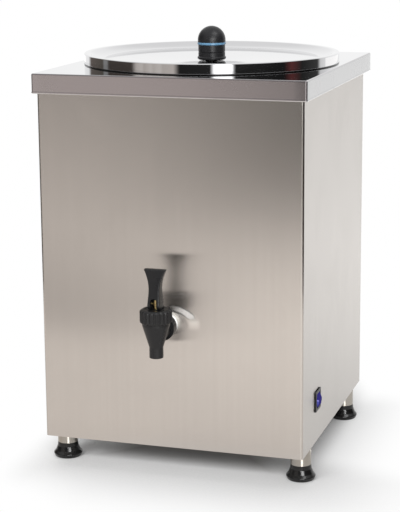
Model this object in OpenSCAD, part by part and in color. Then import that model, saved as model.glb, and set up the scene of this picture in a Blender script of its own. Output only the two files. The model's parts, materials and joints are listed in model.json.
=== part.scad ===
// Insulated milk dispenser: a square steel casing on four feet, a round insulated vessel with a
// lift-off lid, a self-closing tap and a small thermoelectric cooler in the bay below the vessel.
// Millimetres, +Z up. The origin is the middle of the whole dispenser's footprint, on the counter.

/* [Casing] */
// Width of the casing, side to side
body_w = 300; // [290:1:340]
// Depth of the casing, front panel to rear panel
body_d = 300; // [290:1:340]
// Height from the casing's bottom edge to the top of the cover
body_h = 412.5; // [390:0.5:450]
// Thickness of the sheet steel
sheet_t = 1.5; // [1:0.1:2]
// Outside radius of the bends in the sheet
bend_r = 3; // [2.5:0.5:5]
// Width of the flanges turned in along the casing's open edges
flange_w = 22; // [20:1:28]

/* [Cover] */
// Height of the cover's turned-down skirt
cover_skirt = 22; // [16:1:30]
// Overhang of the cover at each side
cover_side = 4.2; // [3:0.1:8]
// Overhang of the cover at the front
cover_front = 5; // [3:0.5:12]
// Overhang of the cover at the back, which keeps the vents off a wall
cover_back = 24; // [8:1:40]
// Gap between the hem of the skirt and the casing
hem_gap = 0.6; // [0.4:0.1:1.5]

/* [Vessel] */
// Inside diameter of the vessel
vessel_d = 230; // [210:1:236]
// Wall of the vessel
vessel_t = 1.2; // [0.8:0.1:1.5]
// Radius of the bend between the vessel's wall and its floor
vessel_bend = 6; // [4:0.5:9]
// Width of the rim flange that hangs on the cover
rim_w = 18; // [12:1:22]
// Distance of the vessel's and lid's axis behind the middle of the casing
vessel_y = 12.5; // [4:0.5:14]
// Height of the outlet's axis above the vessel's floor
outlet_drop = 9; // [8:0.5:12]

/* [Lid] */
// Outside diameter of the lid
lid_d = 294; // [280:1:300]
// Height of the lid's rim above the cover
lid_rim_h = 12.4; // [9:0.1:16]
// Thickness of the lid's sheet
lid_t = 1; // [0.8:0.1:1.5]
// Width of the rim round the lid's recess
lid_rim_w = 6; // [5:0.5:10]
// Width of the recess's sloping wall
dish_wall_w = 10; // [6:0.5:16]
// Depth of the recess at the knob
dish_depth = 10.2; // [8:0.1:10.6]
// Part of that depth by which the recess's floor falls to the knob
dish_fall = 3.6; // [1:0.1:5]
// Height of the seal under the lid's edge
seal_h = 1; // [0.8:0.1:3]
// Width of the seal
seal_w = 4; // [3:0.5:6]
// Gap between the lid's liner and the vessel
liner_gap = 2; // [1:0.5:4]
// Depth of the lid's liner below the cover's top
liner_depth = 12; // [8:1:24]

/* [Knob] */
// Largest diameter of the knob
knob_d = 33; // [28:0.5:40]
// Diameter of the knob's waist
knob_waist_d = 31; // [26:0.5:32.5]
// Diameter of the seat under the knob
knob_foot_d = 13; // [11:0.5:20]
// Height of the knob's base, up to the coloured ring
knob_base_h = 18.2; // [14:0.1:24]
// Thickness of the coloured ring
knob_ring_h = 2.8; // [2:0.1:5]
// Height of the knob's dome
knob_dome_h = 18.6; // [14:0.1:22]
// Diameter of the screw that holds the knob
knob_screw_d = 5; // [4:0.5:6]

/* [Tap] */
// Place of the tap's axis to the right of the middle
tap_x = -3; // [-20:1:20]
// Height of the tap's inlet axis above the counter
tap_z = 177; // [160:1:190]
// Distance of the tap's upright axis from the front panel
tap_reach = 37; // [36:0.5:50]
// Diameter of the tap's bonnet over its ribs
bonnet_d = 35; // [34:0.5:36]
// Height of the bonnet
bonnet_h = 15; // [13:0.5:18]
// Diameter of the ribs round the bonnet
bonnet_rib_d = 1.8; // [1:0.1:2.4]
// Number of ribs round the bonnet
bonnet_ribs = 24; // [12:1:32]
// Diameter of the tap's barrel below the bonnet
barrel_d = 30; // [28:0.5:32]
// Height of the barrel's straight band
barrel_band = 3; // [2:0.5:5]
// Height of the cone between barrel and spout
cone_h = 24; // [20:0.5:28]
// Outside diameter of the spout
spout_d = 15.2; // [14:0.1:17]
// Length of the straight spout
spout_l = 12; // [8:0.5:18]
// Diameter of the spout's bore
spout_bore = 10.4; // [9:0.1:11]
// Diameter of the flange that presses on the washer
tap_flange_d = 28.5; // [28:0.5:36]
// Thickness of that flange
tap_flange_t = 10; // [6:0.5:10]
// Diameter of the pale washer
washer_d = 24; // [22:0.5:28]
// Thickness of the washer
washer_t = 9.5; // [4:0.5:12]
// Diameter of the tap's shank inside the outlet socket
shank_d = 18; // [16:0.5:19]
// Length of the shank behind the front panel
shank_l = 30; // [20:1:32]
// Wall of the outlet socket
socket_wall = 3; // [2:0.5:3.5]

/* [Tap lever] */
// Height of the lever above the bonnet
lever_h = 43.5; // [40:0.5:60]
// Width of the lever at its top
lever_top_w = 25; // [20:0.5:30]
// Width of the lever at its base
lever_base_w = 14; // [13:0.5:16]
// Width of the lever at its neck
lever_neck_w = 12; // [11:0.5:13]
// Depth of the lever at its top, front to back
lever_top_t = 6.5; // [4:0.5:8]
// Radius of the cam on the lever's base
cam_r = 5.5; // [5:0.1:6]
// Distance of the cam's centre in front of the pin, which sets the stem's lift
cam_offset = 3.5; // [2:0.1:4]
// Reach of the lever's base behind the pin
lever_heel = 7; // [5:0.5:8]
// Diameter of the lever's pin
pin_d = 3; // [2.4:0.1:3.2]
// Diameter of the tap's stem
stem_d = 5; // [4.6:0.1:6]

/* [Switch] */
// Width of the switch's bezel, front to back
bezel_w = 23; // [22:0.5:28]
// Height of the bezel
bezel_h = 23; // [22:0.5:26]
// Thickness of the bezel outside the panel
bezel_t = 1.8; // [1.2:0.1:2.4]
// Distance of the switch's middle behind the front panel
switch_back = 66; // [40:1:90]
// Height of the switch's middle above the casing's bottom edge
switch_up = 48; // [36:0.5:60]
// Width of the rocker, front to back
rocker_w = 14.5; // [13:0.1:18]
// Half the length of the rocker, from its pivot to the end of its face
rocker_half = 7.2; // [6.6:0.1:8.2]
// Height of the rocker's ridge above its pivot
rocker_ridge = 6.2; // [5.6:0.1:7.4]
// Tilt of the rocker from its middle when it is switched on
rocker_tilt = 8; // [5:0.5:9]

/* [Feet] */
// Height of the feet, counter to casing
foot_h = 35; // [28:0.5:45]
// Height of the steel sleeve at the top of a foot
foot_sleeve_h = 17.5; // [12:0.5:20]
// Diameter of the sleeve
foot_sleeve_d = 23; // [20:0.5:26]
// Largest diameter of the rubber foot
foot_rubber_d = 33.5; // [28:0.5:36]
// Distance of a foot's axis from the casing's side
foot_side = 11; // [10:0.5:16]
// Distance of the front feet from the front panel
foot_front = 37; // [26:0.5:60]
// Distance of the back feet from the rear panel
foot_back = 42; // [26:0.5:60]
// Diameter of the bolts in the feet
foot_bolt_d = 8; // [6:0.5:8]

/* [Cooling] */
// Side of the square cold plate under the vessel
cold_w = 60; // [50:1:70]
// Thickness of the cold plate
cold_h = 25; // [20:0.5:28]
// Side of the square thermoelectric module
module_w = 40; // [30:1:44]
// Thickness of the module
module_h = 3.8; // [3:0.1:5]
// Side of the square heat sink
sink_w = 120; // [110:1:130]
// Thickness of the heat sink's base
sink_base = 6; // [4:0.5:8]
// Length of the heat sink's fins
fin_h = 28; // [20:0.5:30]
// Thickness of a fin
fin_t = 1.2; // [0.8:0.1:1.4]
// Side of the square fan
fan_w = 92; // [90:0.5:94]
// Thickness of the fan
fan_h = 25; // [20:0.5:25]
// Spacing of the fan's screws
fan_pitch = 82.5; // [82:0.5:83.5]
// Number of fan blades
fan_blades = 7; // [5:1:9]
// Pitch angle of the fan blades
blade_angle = 38; // [25:1:42]

/* [Power] */
// Width of the power supply
supply_w = 78; // [60:1:82]
// Depth of the power supply
supply_d = 110; // [80:1:120]
// Height of the power supply
supply_h = 32; // [24:1:34]
// Width of the inlet's flange
inlet_w = 32; // [30:0.5:36]
// Height of the inlet's flange
inlet_h = 25; // [23:0.5:28]
// Depth of the inlet's body behind the panel
inlet_depth = 22; // [20:0.5:28]
// Distance of the inlet's middle from the casing's right side
inlet_side = 58; // [50:1:80]
// Height of the inlet's middle above the casing's bottom edge
inlet_up = 34; // [26:0.5:50]
// Diameter of the internal leads
lead_d = 4; // [3:0.1:5]

/* [Vents] */
// Length of a vent slot
vent_l = 64; // [40:1:70]
// Width of a vent slot
vent_w = 4; // [3:0.5:5]
// Spacing of the vent slots
vent_pitch = 9; // [8:0.5:12]
// Number of rows of vents in the rear panel
vent_rows = 6; // [3:1:7]
// Number of intake slots in the base plate
intake_slots = 9; // [5:1:11]

/* [Hidden] */
$fn = 96;

// Clearances
slack = 1;          // how far a cut runs past the face it opens
touch_gap = 0.05;   // parts that seat on each other across a joint
run_gap = 0.06;     // shafts and pins in their holes
thread_gap = 0.05;  // threaded and pressed pieces
hole_gap = 0.4;     // screws and pipes through sheet
foam_gap = 0.5;     // foam beside sheet

// Levels of the casing
case_bottom = foot_h;
cover_top = foot_h + body_h;
wrap_top = cover_top - sheet_t;
wrap_h = wrap_top - case_bottom;
plate_bottom = case_bottom + sheet_t;
plate_top = plate_bottom + sheet_t;

// Planes of the casing, measured from the casing's middle
front_y = -body_d / 2;
back_y = body_d / 2;
rear_seat_y = back_y - sheet_t;
flange_back_y = rear_seat_y - sheet_t;
inner_x = body_w / 2 - sheet_t;
bay_front_y = front_y + bend_r + hole_gap;
body_y = (tap_reach + bonnet_d / 2 - cover_back) / 2;

// Cover
cover_w = body_w + 2 * cover_side;
cover_d = body_d + cover_front + cover_back;
cover_y = (cover_back - cover_front) / 2;

// Vessel and outlet
vessel_r = vessel_d / 2;
vessel_out_r = vessel_r + vessel_t;
vessel_floor = tap_z - outlet_drop;
vessel_bottom = vessel_floor - vessel_t;
mouth_r = vessel_out_r + hole_gap;
rim_r = mouth_r + rim_w;
socket_in_r = shank_d / 2 + thread_gap;
socket_out_r = socket_in_r + socket_wall;

// Cooling stack, from the vessel's underside down
cold_bottom = vessel_bottom - cold_h;
sink_top = cold_bottom - module_h;
fin_top = sink_top - sink_base;
fan_top = fin_top - fin_h;
fan_bottom = fan_top - fan_h;
deck_top = sink_top + sheet_t;
deck_flange = 15;
well_gap = 2;
fin_pitch = fan_pitch / 15;
fin_count = 2 * floor((sink_w - fin_t) / 2 / fin_pitch) + 1;
screw_d = 4;
screw_head_d = 7.5;
screw_head_h = 2.4;
sink_screw_in = 6;
sink_screw_x = sink_w / 2 - sink_screw_in;
screw_grip = 2;

// Fan
fan_rim = 1.5;
fan_bore_r = fan_w / 2 - fan_rim;
fan_hub_r = 18;
fan_plate = 4;
fan_spoke_w = 5;
fan_shaft_r = 1.5;
fan_end_gap = 2;
fan_lift = 0.6;
blade_gap = 1;
blade_t = 1.6;
blade_root = 3;

// Lid, measured up from the cover's top
lid_r = lid_d / 2;
lid_fold_in = 0.4;
lid_edge_r = lid_t + lid_fold_in;
dish_bend_r = 8;
dish_crest_r = 5;
rim_top = cover_top + lid_rim_h;
dish_top = rim_top - dish_depth;
dish_bottom = dish_top - lid_t;
dish_r = lid_r - lid_rim_w;
dish_floor_r = dish_r - dish_wall_w;
dish_flat_r = knob_d / 2 + 2;
dish_edge_z = dish_top + dish_fall;
fall_slope = atan2(dish_fall, dish_floor_r - dish_flat_r);
wall_slope = atan2(dish_depth - dish_fall, dish_wall_w);
band_bottom = cover_top + touch_gap + seal_h;
liner_r = vessel_r - liner_gap;
liner_floor = cover_top - liner_depth;
liner_lip = 10;

// Knob
knob_ring_z = dish_top + knob_base_h;
knob_dome_z = knob_ring_z + knob_ring_h;
knob_seat_h = 1;
knob_skirt_in = 1.5;
knob_flare_z = 2.4;
knob_flare_h = 1.6;
knob_flare_step = 0.8;
knob_groove_z = 9;
knob_groove = 0.6;
knob_dome_rim = 0.5;
knob_screw_room = 2;

// Tap, heights from the counter and distances forward of the front panel
tap_y = front_y - tap_reach;
barrel_rise = 11;
barrel_top = tap_z + barrel_rise;
band_z = barrel_top - barrel_band;
cone_bottom = band_z - cone_h;
spout_bottom = cone_bottom - spout_l;
thread_h = 9;
thread_step = 1.6;
thread_wall = 1.8;
thread_r = barrel_d / 2 - thread_step;
chamber_r = thread_r - thread_wall;
bonnet_top = barrel_top + bonnet_h;
bonnet_chamfer = 2;
barrel_wall = 2;
seat_ledge = 1.6;
seat_r = spout_bore / 2 + seat_ledge;
seat_z = cone_z(seat_r + barrel_wall);
chamber_z = cone_z(chamber_r + barrel_wall);
seat_rim = 2;
seat_wall = 1.6;
seat_plug = 3;
seat_ceiling = barrel_top + thread_h + seat_rim;
flange_face_y = front_y - washer_t;
hub_r = 11;
shank_wall = 3;
tap_bore_r = shank_d / 2 - shank_wall;

// Lever and stem
cam_gap = 0.1;
pin_z = bonnet_top + cam_gap + cam_r;
pin_inset = 0.3;
lever_top = bonnet_top + lever_h;
slot_gap = 1.2;
slot_room = 2.6;
stem_head = 4.2;
stem_top = pin_z + stem_head;
stem_button_z = seat_z + seat_plug;
stem_button_h = 2.4;
stem_button_rim = 1.8;
stem_button_r = stem_d / 2 + stem_button_rim;
lever_neck_at = 0.46;

// Switch
switch_x = body_w / 2;
switch_y = front_y + switch_back;
switch_z = case_bottom + switch_up;
switch_wall = 0.9;
rocker_gap = 0.2;
rocker_nose = 4.2;
pivot_x = switch_x - 2;
pivot_r = 1.2;
pivot_l = 0.6;
rocker_r = norm([rocker_nose, rocker_half]);
housing_w = rocker_w + 2 * (rocker_gap + switch_wall);
housing_h = 2 * (rocker_r + rocker_gap + switch_wall);
housing_depth = 18;
contact_l = 8;
contact_w = 4.8;
contact_t = 0.8;
contact_z = 6;

// Feet
foot_x = body_w / 2 - foot_side;
feet = [for (sx = [-1, 1], y = [front_y + foot_front, back_y - foot_back]) [sx * foot_x, y]];
rubber_top = foot_h - foot_sleeve_h;
rubber_tread = 1.8;
rubber_widest = 4.4;
rubber_waist = 7.6;
rubber_waist_in = 2.6;
rubber_neck = 5;
rubber_neck_rim = 0.6;
bolt_seat = 9;
bolt_head_h = 5;
bolt_head_r = foot_bolt_d * 0.8;
bolt_well_gap = 1.4;
bolt_end = 2;
nut_h = 6.5;

// Power
supply_side = 18;
supply_back = 20;
supply_x = supply_side - inner_x;
supply_y = flange_back_y - supply_back - supply_d;
supply_screw_in = 8;
supply_slots = 8;
supply_slot_pitch = 8;
supply_slot_w = 3;
supply_slot_depth = 2;
supply_slot_side = 12;
supply_screw_l = 6;
inlet_x = body_w / 2 - inlet_side;
inlet_z = case_bottom + inlet_up;
inlet_wall = 3;
inlet_flange_t = 3;
inlet_body_in = 2;
blade_w = 2;
blade_h = 4;
blade_side = 6;
blade_low = -2;
blade_high = 3;
blade_tail = 8;
blade_setback = 6;

// Leads
lead_turn = 12;
lead_front = 30;

// Screws through the rear panel
rear_screw_x = body_w / 2 - flange_w / 2;
rear_screw_end = 16;
rear_screw_l = 2 * sheet_t + 6;
rear_screws_z = [
    case_bottom + rear_screw_end,
    (case_bottom + wrap_top) / 2,
    wrap_top - cover_skirt - rear_screw_end
];

// Small functions

function unit(v) = v / norm(v);

// Points of the arc that rounds corner p1 between its neighbours p0 and p2
function corner(p0, p1, p2, r, n) =
    let (
        a = unit(p0 - p1),
        b = unit(p2 - p1),
        half = acos(a * b) / 2,
        c = p1 + unit(a + b) * r / sin(half),
        s = p1 + a * r / tan(half) - c,
        e = p1 + b * r / tan(half) - c,
        a0 = atan2(s.y, s.x),
        turn = atan2(e.y, e.x) - a0,
        sweep = turn > 180 ? turn - 360 : turn < -180 ? turn + 360 : turn
    )
    [for (i = [0:n]) c + r * [cos(a0 + sweep * i / n), sin(a0 + sweep * i / n)]];

function flat(q) = [q.x, q.y];

// A closed outline whose points are [x, y, radius of the corner]
function rounded(path, n = 6) =
    let (m = len(path))
    [for (i = [0:m - 1])
        each (path[i].z > 0
            ? corner(flat(path[(i + m - 1) % m]), flat(path[i]), flat(path[(i + 1) % m]), path[i].z, n)
            : [flat(path[i])])];

// Small shapes

module in_frame() translate([0, body_y, 0]) children();

module at_vessel(z) translate([0, vessel_y, z]) children();

module at_tap(z) translate([tap_x, tap_y, z]) children();

module turned(path) rotate_extrude() polygon(path);

// A rod along Y between two planes, and one along X
module rod_y(y0, y1, r) translate([0, y0, 0]) rotate([-90, 0, 0]) cylinder(h = y1 - y0, r = r);

module rod_x(x0, x1, r) translate([x0, 0, 0]) rotate([0, 90, 0]) cylinder(h = x1 - x0, r = r);

// A block centred in X and Y
module block(w, d, h) translate([-w / 2, -d / 2, 0]) cube([w, d, h]);

// A block with rounded upright edges and rounded top edges
module soft_block(w, d, h, r) {
    block(w - 2 * r, d, h - r);
    block(w, d - 2 * r, h - r);
    block(w - 2 * r, d - 2 * r, h);
    for (sx = [-1, 1], sy = [-1, 1])
        translate([sx * (w / 2 - r), sy * (d / 2 - r), 0]) {
            cylinder(h = h - r, r = r);
            translate([0, 0, h - r]) sphere(r);
        }
    for (sy = [-1, 1])
        translate([0, sy * (d / 2 - r), h - r]) rod_x(-w / 2 + r, w / 2 - r, r);
    for (sx = [-1, 1])
        translate([sx * (w / 2 - r), 0, h - r]) rod_y(-d / 2 + r, d / 2 - r, r);
}

// A slot with round ends, along X
module round_slot(l, w) {
    square([l - w, w], center = true);
    for (s = [-1, 1]) translate([s * (l - w) / 2, 0]) circle(w / 2);
}

// A cap screw that points up: its head is below z = 0
module screw_up(l) {
    translate([0, 0, -screw_head_h]) cylinder(h = screw_head_h, d = screw_head_d);
    cylinder(h = l, d = screw_d);
}

// A round lead along straight runs, with ball corners
module lead(points) {
    for (i = [0:len(points) - 2]) {
        run = points[i + 1] - points[i];
        translate(points[i])
            rotate([0, acos(run.z / norm(run)), atan2(run.y, run.x)])
                cylinder(h = norm(run), d = lead_d);
        if (i > 0) translate(points[i]) sphere(d = lead_d);
    }
}

// Casing

// The casing's plan, inset by a wall, from the front back to a plane
module wrap_outline(inset, back) {
    half = body_w / 2 - inset;
    front = front_y + inset;
    r = bend_r - inset;
    translate([-half, front + r]) square([2 * half, back - front - r]);
    translate([r - half, front]) square([2 * (half - r), 2 * r]);
    for (s = [-1, 1]) translate([s * (half - r), front + r]) circle(r);
}

module casing_wrap() {
    color("silver") in_frame() difference() {
        translate([0, 0, case_bottom]) linear_extrude(wrap_h) wrap_outline(0, rear_seat_y);
        translate([0, 0, plate_bottom])
            linear_extrude(wrap_h - 2 * sheet_t) wrap_outline(sheet_t, flange_back_y);
        translate([flange_w - body_w / 2, front_y + flange_w, case_bottom - slack])
            cube([body_w - 2 * flange_w, body_d, wrap_h + 2 * slack]);
        translate([tap_x, 0, tap_z])
            rod_y(front_y - slack, front_y + sheet_t + slack, socket_out_r + hole_gap);
        switch_cutout();
        foot_holes(case_bottom);
        rear_screw_holes(rear_screw_l, thread_gap);
    }
}

module switch_cutout() {
    w = housing_w + 2 * hole_gap;
    h = housing_h + 2 * hole_gap;
    translate([inner_x - slack, switch_y - w / 2, switch_z - h / 2])
        cube([sheet_t + 2 * slack, w, h]);
}

module foot_holes(z) {
    for (p = feet)
        translate([p.x, p.y, z - slack])
            cylinder(h = sheet_t + 2 * slack, d = foot_bolt_d + 2 * hole_gap);
}

// Holes for the rear screws, from a depth behind the rear face
module rear_screw_holes(depth, gap) {
    for (s = [-1, 1], z = rear_screws_z)
        translate([s * rear_screw_x, 0, z])
            rod_y(back_y - depth, back_y + slack, screw_d / 2 + gap);
}

module rear_panel() {
    color("gainsboro") in_frame() difference() {
        translate([-body_w / 2, rear_seat_y, case_bottom]) cube([body_w, sheet_t, wrap_h]);
        for (s = [-1, 1], row = [0:vent_rows - 1])
            translate([s * (vent_l / 2 + vent_pitch), back_y + slack, vents_bottom() + row * vent_pitch])
                rotate([90, 0, 0]) linear_extrude(sheet_t + 2 * slack) round_slot(vent_l, vent_w);
        translate([inlet_x - inlet_w / 2 + inlet_body_in - hole_gap, rear_seat_y - slack,
                   inlet_z - inlet_h / 2 + inlet_body_in - hole_gap])
            cube([inlet_w - 2 * (inlet_body_in - hole_gap), sheet_t + 2 * slack,
                  inlet_h - 2 * (inlet_body_in - hole_gap)]);
        rear_screw_holes(rear_screw_l, thread_gap);
    }
}

// Height of the lowest row of vents, clear of the inlet below it
function vents_bottom() = inlet_z + inlet_h / 2 + vent_pitch;

module rear_screws() {
    color("lightgray") in_frame()
        for (s = [-1, 1], z = rear_screws_z)
            translate([s * rear_screw_x, back_y, z]) rotate([90, 0, 0]) screw_up(rear_screw_l);
}

module base_plate() {
    depth = flange_back_y - hole_gap - bay_front_y;
    color("darkgray") in_frame() difference() {
        translate([hole_gap - inner_x, bay_front_y, plate_bottom])
            cube([2 * (inner_x - hole_gap), depth, sheet_t]);
        for (i = [0:intake_slots - 1])
            translate([0, vessel_y + (i - (intake_slots - 1) / 2) * vent_pitch, plate_bottom - slack])
                linear_extrude(sheet_t + 2 * slack) round_slot(vent_l, vent_w);
        foot_holes(plate_bottom);
        for (p = supply_screw_places())
            translate([p.x, p.y, plate_bottom - slack])
                cylinder(h = sheet_t + 2 * slack, d = screw_d + 2 * thread_gap);
    }
}

module top_cover() {
    color("whitesmoke") in_frame() difference() {
        translate([0, cover_y, cover_top - cover_skirt])
            soft_block(cover_w, cover_d, cover_skirt, bend_r);
        translate([0, cover_y, cover_top - cover_skirt + sheet_t])
            soft_block(cover_w - 2 * sheet_t, cover_d - 2 * sheet_t, cover_skirt - 2 * sheet_t,
                       bend_r - sheet_t);
        hem_opening();
        at_vessel(cover_top - sheet_t - slack) cylinder(h = sheet_t + 2 * slack, r = mouth_r);
    }
}

// The hole inside the skirt's hem, through which the casing comes up
module hem_opening() {
    hem = cover_side - hem_gap;
    front = front_y - hem_gap;
    back = back_y + cover_back - hem;
    translate([-body_w / 2 - hem_gap, front, cover_top - cover_skirt - slack])
        cube([body_w + 2 * hem_gap, back - front, sheet_t + 2 * slack]);
}

module deck_plate() {
    depth = flange_back_y - hole_gap - bay_front_y;
    color("darkgray") in_frame() difference() {
        translate([-inner_x, bay_front_y, deck_top - deck_flange])
            cube([2 * inner_x, depth, deck_flange]);
        translate([sheet_t - inner_x, bay_front_y - slack, deck_top - deck_flange - slack])
            cube([2 * (inner_x - sheet_t), depth + 2 * slack, deck_flange + slack - sheet_t]);
        at_vessel(sink_top - slack)
            block(cold_w + 2 * well_gap, cold_w + 2 * well_gap, sheet_t + 2 * slack);
        for (p = sink_screw_places())
            translate([p.x, p.y, sink_top - slack])
                cylinder(h = sheet_t + 2 * slack, d = screw_d + 2 * thread_gap);
    }
}

// Vessel and insulation

module vessel() {
    top = cover_top + vessel_t;
    color("lightsteelblue") in_frame() difference() {
        at_vessel(0) turned(rounded([
            [0, vessel_bottom, 0],
            [vessel_out_r, vessel_bottom, vessel_bend + vessel_t],
            [vessel_out_r, cover_top, 0],
            [rim_r, cover_top, 0],
            [rim_r, top, 0],
            [vessel_r, top, 0],
            [vessel_r, vessel_floor, vessel_bend],
            [0, vessel_floor, 0]
        ]));
        translate([tap_x, 0, tap_z]) rod_y(front_y, vessel_y, tap_bore_r);
    }
}

module outlet_socket() {
    color("silver") in_frame() difference() {
        translate([tap_x, 0, tap_z])
            rod_y(front_y, vessel_y - vessel_out_r + 2 * socket_out_r, socket_out_r);
        translate([tap_x, 0, tap_z]) rod_y(front_y - slack, vessel_y, socket_in_r);
        at_vessel(vessel_bottom - 2 * socket_out_r)
            cylinder(h = 5 * socket_out_r, r = vessel_out_r + touch_gap);
    }
}

module outlet_tunnel() {
    translate([tap_x, 0, tap_z]) rod_y(front_y - slack, vessel_y, socket_out_r + foam_gap);
}

module foam_block(z0, z1) {
    front = front_y + sheet_t + foam_gap;
    translate([foam_gap - inner_x, front, z0])
        cube([2 * (inner_x - foam_gap), flange_back_y - foam_gap - front, z1 - z0]);
}

module insulation_wall() {
    color("khaki") in_frame() difference() {
        foam_block(vessel_bottom, wrap_top - sheet_t - foam_gap);
        at_vessel(vessel_bottom - slack)
            cylinder(h = body_h, r = vessel_out_r + foam_gap);
        rear_screw_holes(rear_screw_l + foam_gap, foam_gap);
        outlet_tunnel();
    }
}

module insulation_floor() {
    color("burlywood") in_frame() difference() {
        foam_block(deck_top, vessel_bottom);
        at_vessel(deck_top - slack)
            block(cold_w + 2 * well_gap, cold_w + 2 * well_gap, body_h);
        for (p = sink_screw_places())
            translate([p.x, p.y, deck_top - slack])
                cylinder(h = slack + screw_grip + foam_gap, d = screw_d + 2 * foam_gap);
        outlet_tunnel();
    }
}

// Lid and knob

// Corner of a sheet's underside, below the corner p between runs at slopes a and b
function under(p, a, b) = p + lid_t * [sin(a) + sin(b), -cos(a) - cos(b)] / (1 + cos(b - a));

// Height of the underside of the recess's floor at radius r
function dish_under(r) = dish_top + (r - dish_flat_r) * tan(fall_slope) - lid_t / cos(fall_slope);

module lid_shell() {
    r0 = knob_screw_d / 2 + thread_gap;
    flat = under([dish_flat_r, dish_top], 0, fall_slope);
    edge = under([dish_floor_r, dish_edge_z], fall_slope, wall_slope);
    crest = under([dish_r, rim_top], wall_slope, 0);
    color("white") in_frame() at_vessel(0) turned(rounded([
        [r0, dish_bottom, 0],
        [flat.x, flat.y, 0],
        [edge.x, edge.y, dish_bend_r + lid_t],
        [crest.x, crest.y, dish_crest_r - lid_t],
        [lid_r - lid_t, rim_top - lid_t, lid_fold_in],
        [lid_r - lid_t, band_bottom, 0],
        [lid_r, band_bottom, 0],
        [lid_r, rim_top, lid_edge_r],
        [dish_r, rim_top, dish_crest_r],
        [dish_floor_r, dish_edge_z, dish_bend_r],
        [dish_flat_r, dish_top, 0],
        [r0, dish_top, 0]
    ]));
}

module lid_seal() {
    color("black") in_frame() at_vessel(cover_top + touch_gap) difference() {
        cylinder(h = seal_h, r = lid_r);
        translate([0, 0, -slack]) cylinder(h = seal_h + 2 * slack, r = lid_r - seal_w);
    }
}

module lid_liner() {
    inner = liner_r - lid_t;
    lip = liner_r + liner_lip;
    color("lightsteelblue") in_frame() at_vessel(0) turned([
        [0, liner_floor],
        [liner_r, liner_floor],
        [liner_r, dish_under(liner_r) - touch_gap - lid_t],
        [lip, dish_under(lip) - touch_gap - lid_t],
        [lip, dish_under(lip) - touch_gap],
        [inner, dish_under(inner) - touch_gap],
        [inner, liner_floor + lid_t],
        [0, liner_floor + lid_t]
    ]);
}

module lid_insulation() {
    r = liner_r - lid_t - foam_gap;
    well_r = knob_screw_d + knob_screw_room;
    color("khaki") in_frame() at_vessel(0) turned([
        [well_r, liner_floor + lid_t],
        [r, liner_floor + lid_t],
        [r, dish_under(r) - foam_gap],
        [dish_flat_r, dish_under(dish_flat_r) - foam_gap],
        [well_r, dish_under(dish_flat_r) - foam_gap]
    ]);
}

module knob_bore(z0, z1) {
    translate([0, 0, z0]) cylinder(h = z1 - z0, d = knob_screw_d + 2 * thread_gap);
}

module knob_base() {
    r = knob_d / 2;
    waist = knob_waist_d / 2;
    flare = dish_top + knob_flare_z;
    groove = dish_top + knob_groove_z;
    color("#222326") in_frame() at_vessel(0) difference() {
        turned(rounded([
            [0, dish_top, 0],
            [knob_foot_d / 2, dish_top, 0],
            [knob_foot_d / 2, dish_top + knob_seat_h, 0],
            [r - knob_skirt_in, dish_top + knob_seat_h, 0.8],
            [r, flare, 0.6],
            [r, flare + knob_flare_h, 0.6],
            [waist, flare + knob_flare_h + knob_flare_step, 0.6],
            [waist, groove, 0],
            [waist - knob_groove, groove + knob_groove, 0],
            [waist, groove + 2 * knob_groove, 0],
            [waist, knob_ring_z, 0],
            [0, knob_ring_z, 0]
        ]));
        knob_bore(dish_top - slack, knob_ring_z + slack);
    }
}

module knob_ring() {
    color("deepskyblue") in_frame() at_vessel(0) difference() {
        turned(rounded([
            [0, knob_ring_z, 0],
            [knob_d / 2, knob_ring_z, 1],
            [knob_d / 2, knob_dome_z, 1],
            [0, knob_dome_z, 0]
        ]));
        knob_bore(knob_ring_z - slack, knob_dome_z + slack);
    }
}

module knob_dome() {
    r = knob_waist_d / 2 + knob_dome_rim;
    lift = knob_dome_h - r;
    color("#222326") in_frame() at_vessel(knob_dome_z) difference() {
        union() {
            cylinder(h = lift, r = r);
            translate([0, 0, lift]) intersection() {
                sphere(r);
                cylinder(h = r, r = r);
            }
        }
        knob_bore(-slack, lift + r / 2);
    }
}

module knob_screw() {
    color("lightgray") in_frame() at_vessel(0) {
        translate([0, 0, dish_bottom - screw_head_h])
            cylinder(h = screw_head_h, d = knob_screw_d * 2);
        translate([0, 0, dish_bottom])
            cylinder(h = knob_dome_z + knob_dome_h / 3 - dish_bottom, d = knob_screw_d);
    }
}

// Tap

// Height at which the outside of the tap's cone has radius r
function cone_z(r) = cone_bottom + cone_h * (r - spout_d / 2) / (barrel_d / 2 - spout_d / 2);

module tap_body() {
    color("#202122") in_frame() difference() {
        union() {
            at_tap(0) turned(rounded([
                [0, spout_bottom, 0],
                [spout_d / 2, spout_bottom, 0.8],
                [spout_d / 2, cone_bottom, 6],
                [barrel_d / 2, band_z, 3],
                [barrel_d / 2, barrel_top, 0],
                [thread_r, barrel_top, 0],
                [thread_r, barrel_top + thread_h, 0],
                [0, barrel_top + thread_h, 0]
            ]));
            translate([tap_x, 0, tap_z]) {
                rod_y(tap_y, flange_face_y, hub_r);
                rod_y(flange_face_y - tap_flange_t, flange_face_y, tap_flange_d / 2);
                rod_y(flange_face_y, front_y + shank_l, shank_d / 2);
            }
        }
        at_tap(spout_bottom - slack) cylinder(h = tap_z - spout_bottom, d = spout_bore);
        at_tap(0) turned([
            [0, seat_z],
            [seat_r, seat_z],
            [chamber_r, chamber_z],
            [chamber_r, barrel_top + thread_h + slack],
            [0, barrel_top + thread_h + slack]
        ]);
        translate([tap_x, 0, tap_z]) rod_y(tap_y, front_y + shank_l + slack, tap_bore_r);
    }
}

module tap_washer() {
    color("white") in_frame() translate([tap_x, 0, tap_z]) difference() {
        rod_y(flange_face_y, front_y, washer_d / 2);
        rod_y(flange_face_y - slack, front_y + slack, shank_d / 2 + thread_gap);
    }
}

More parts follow.
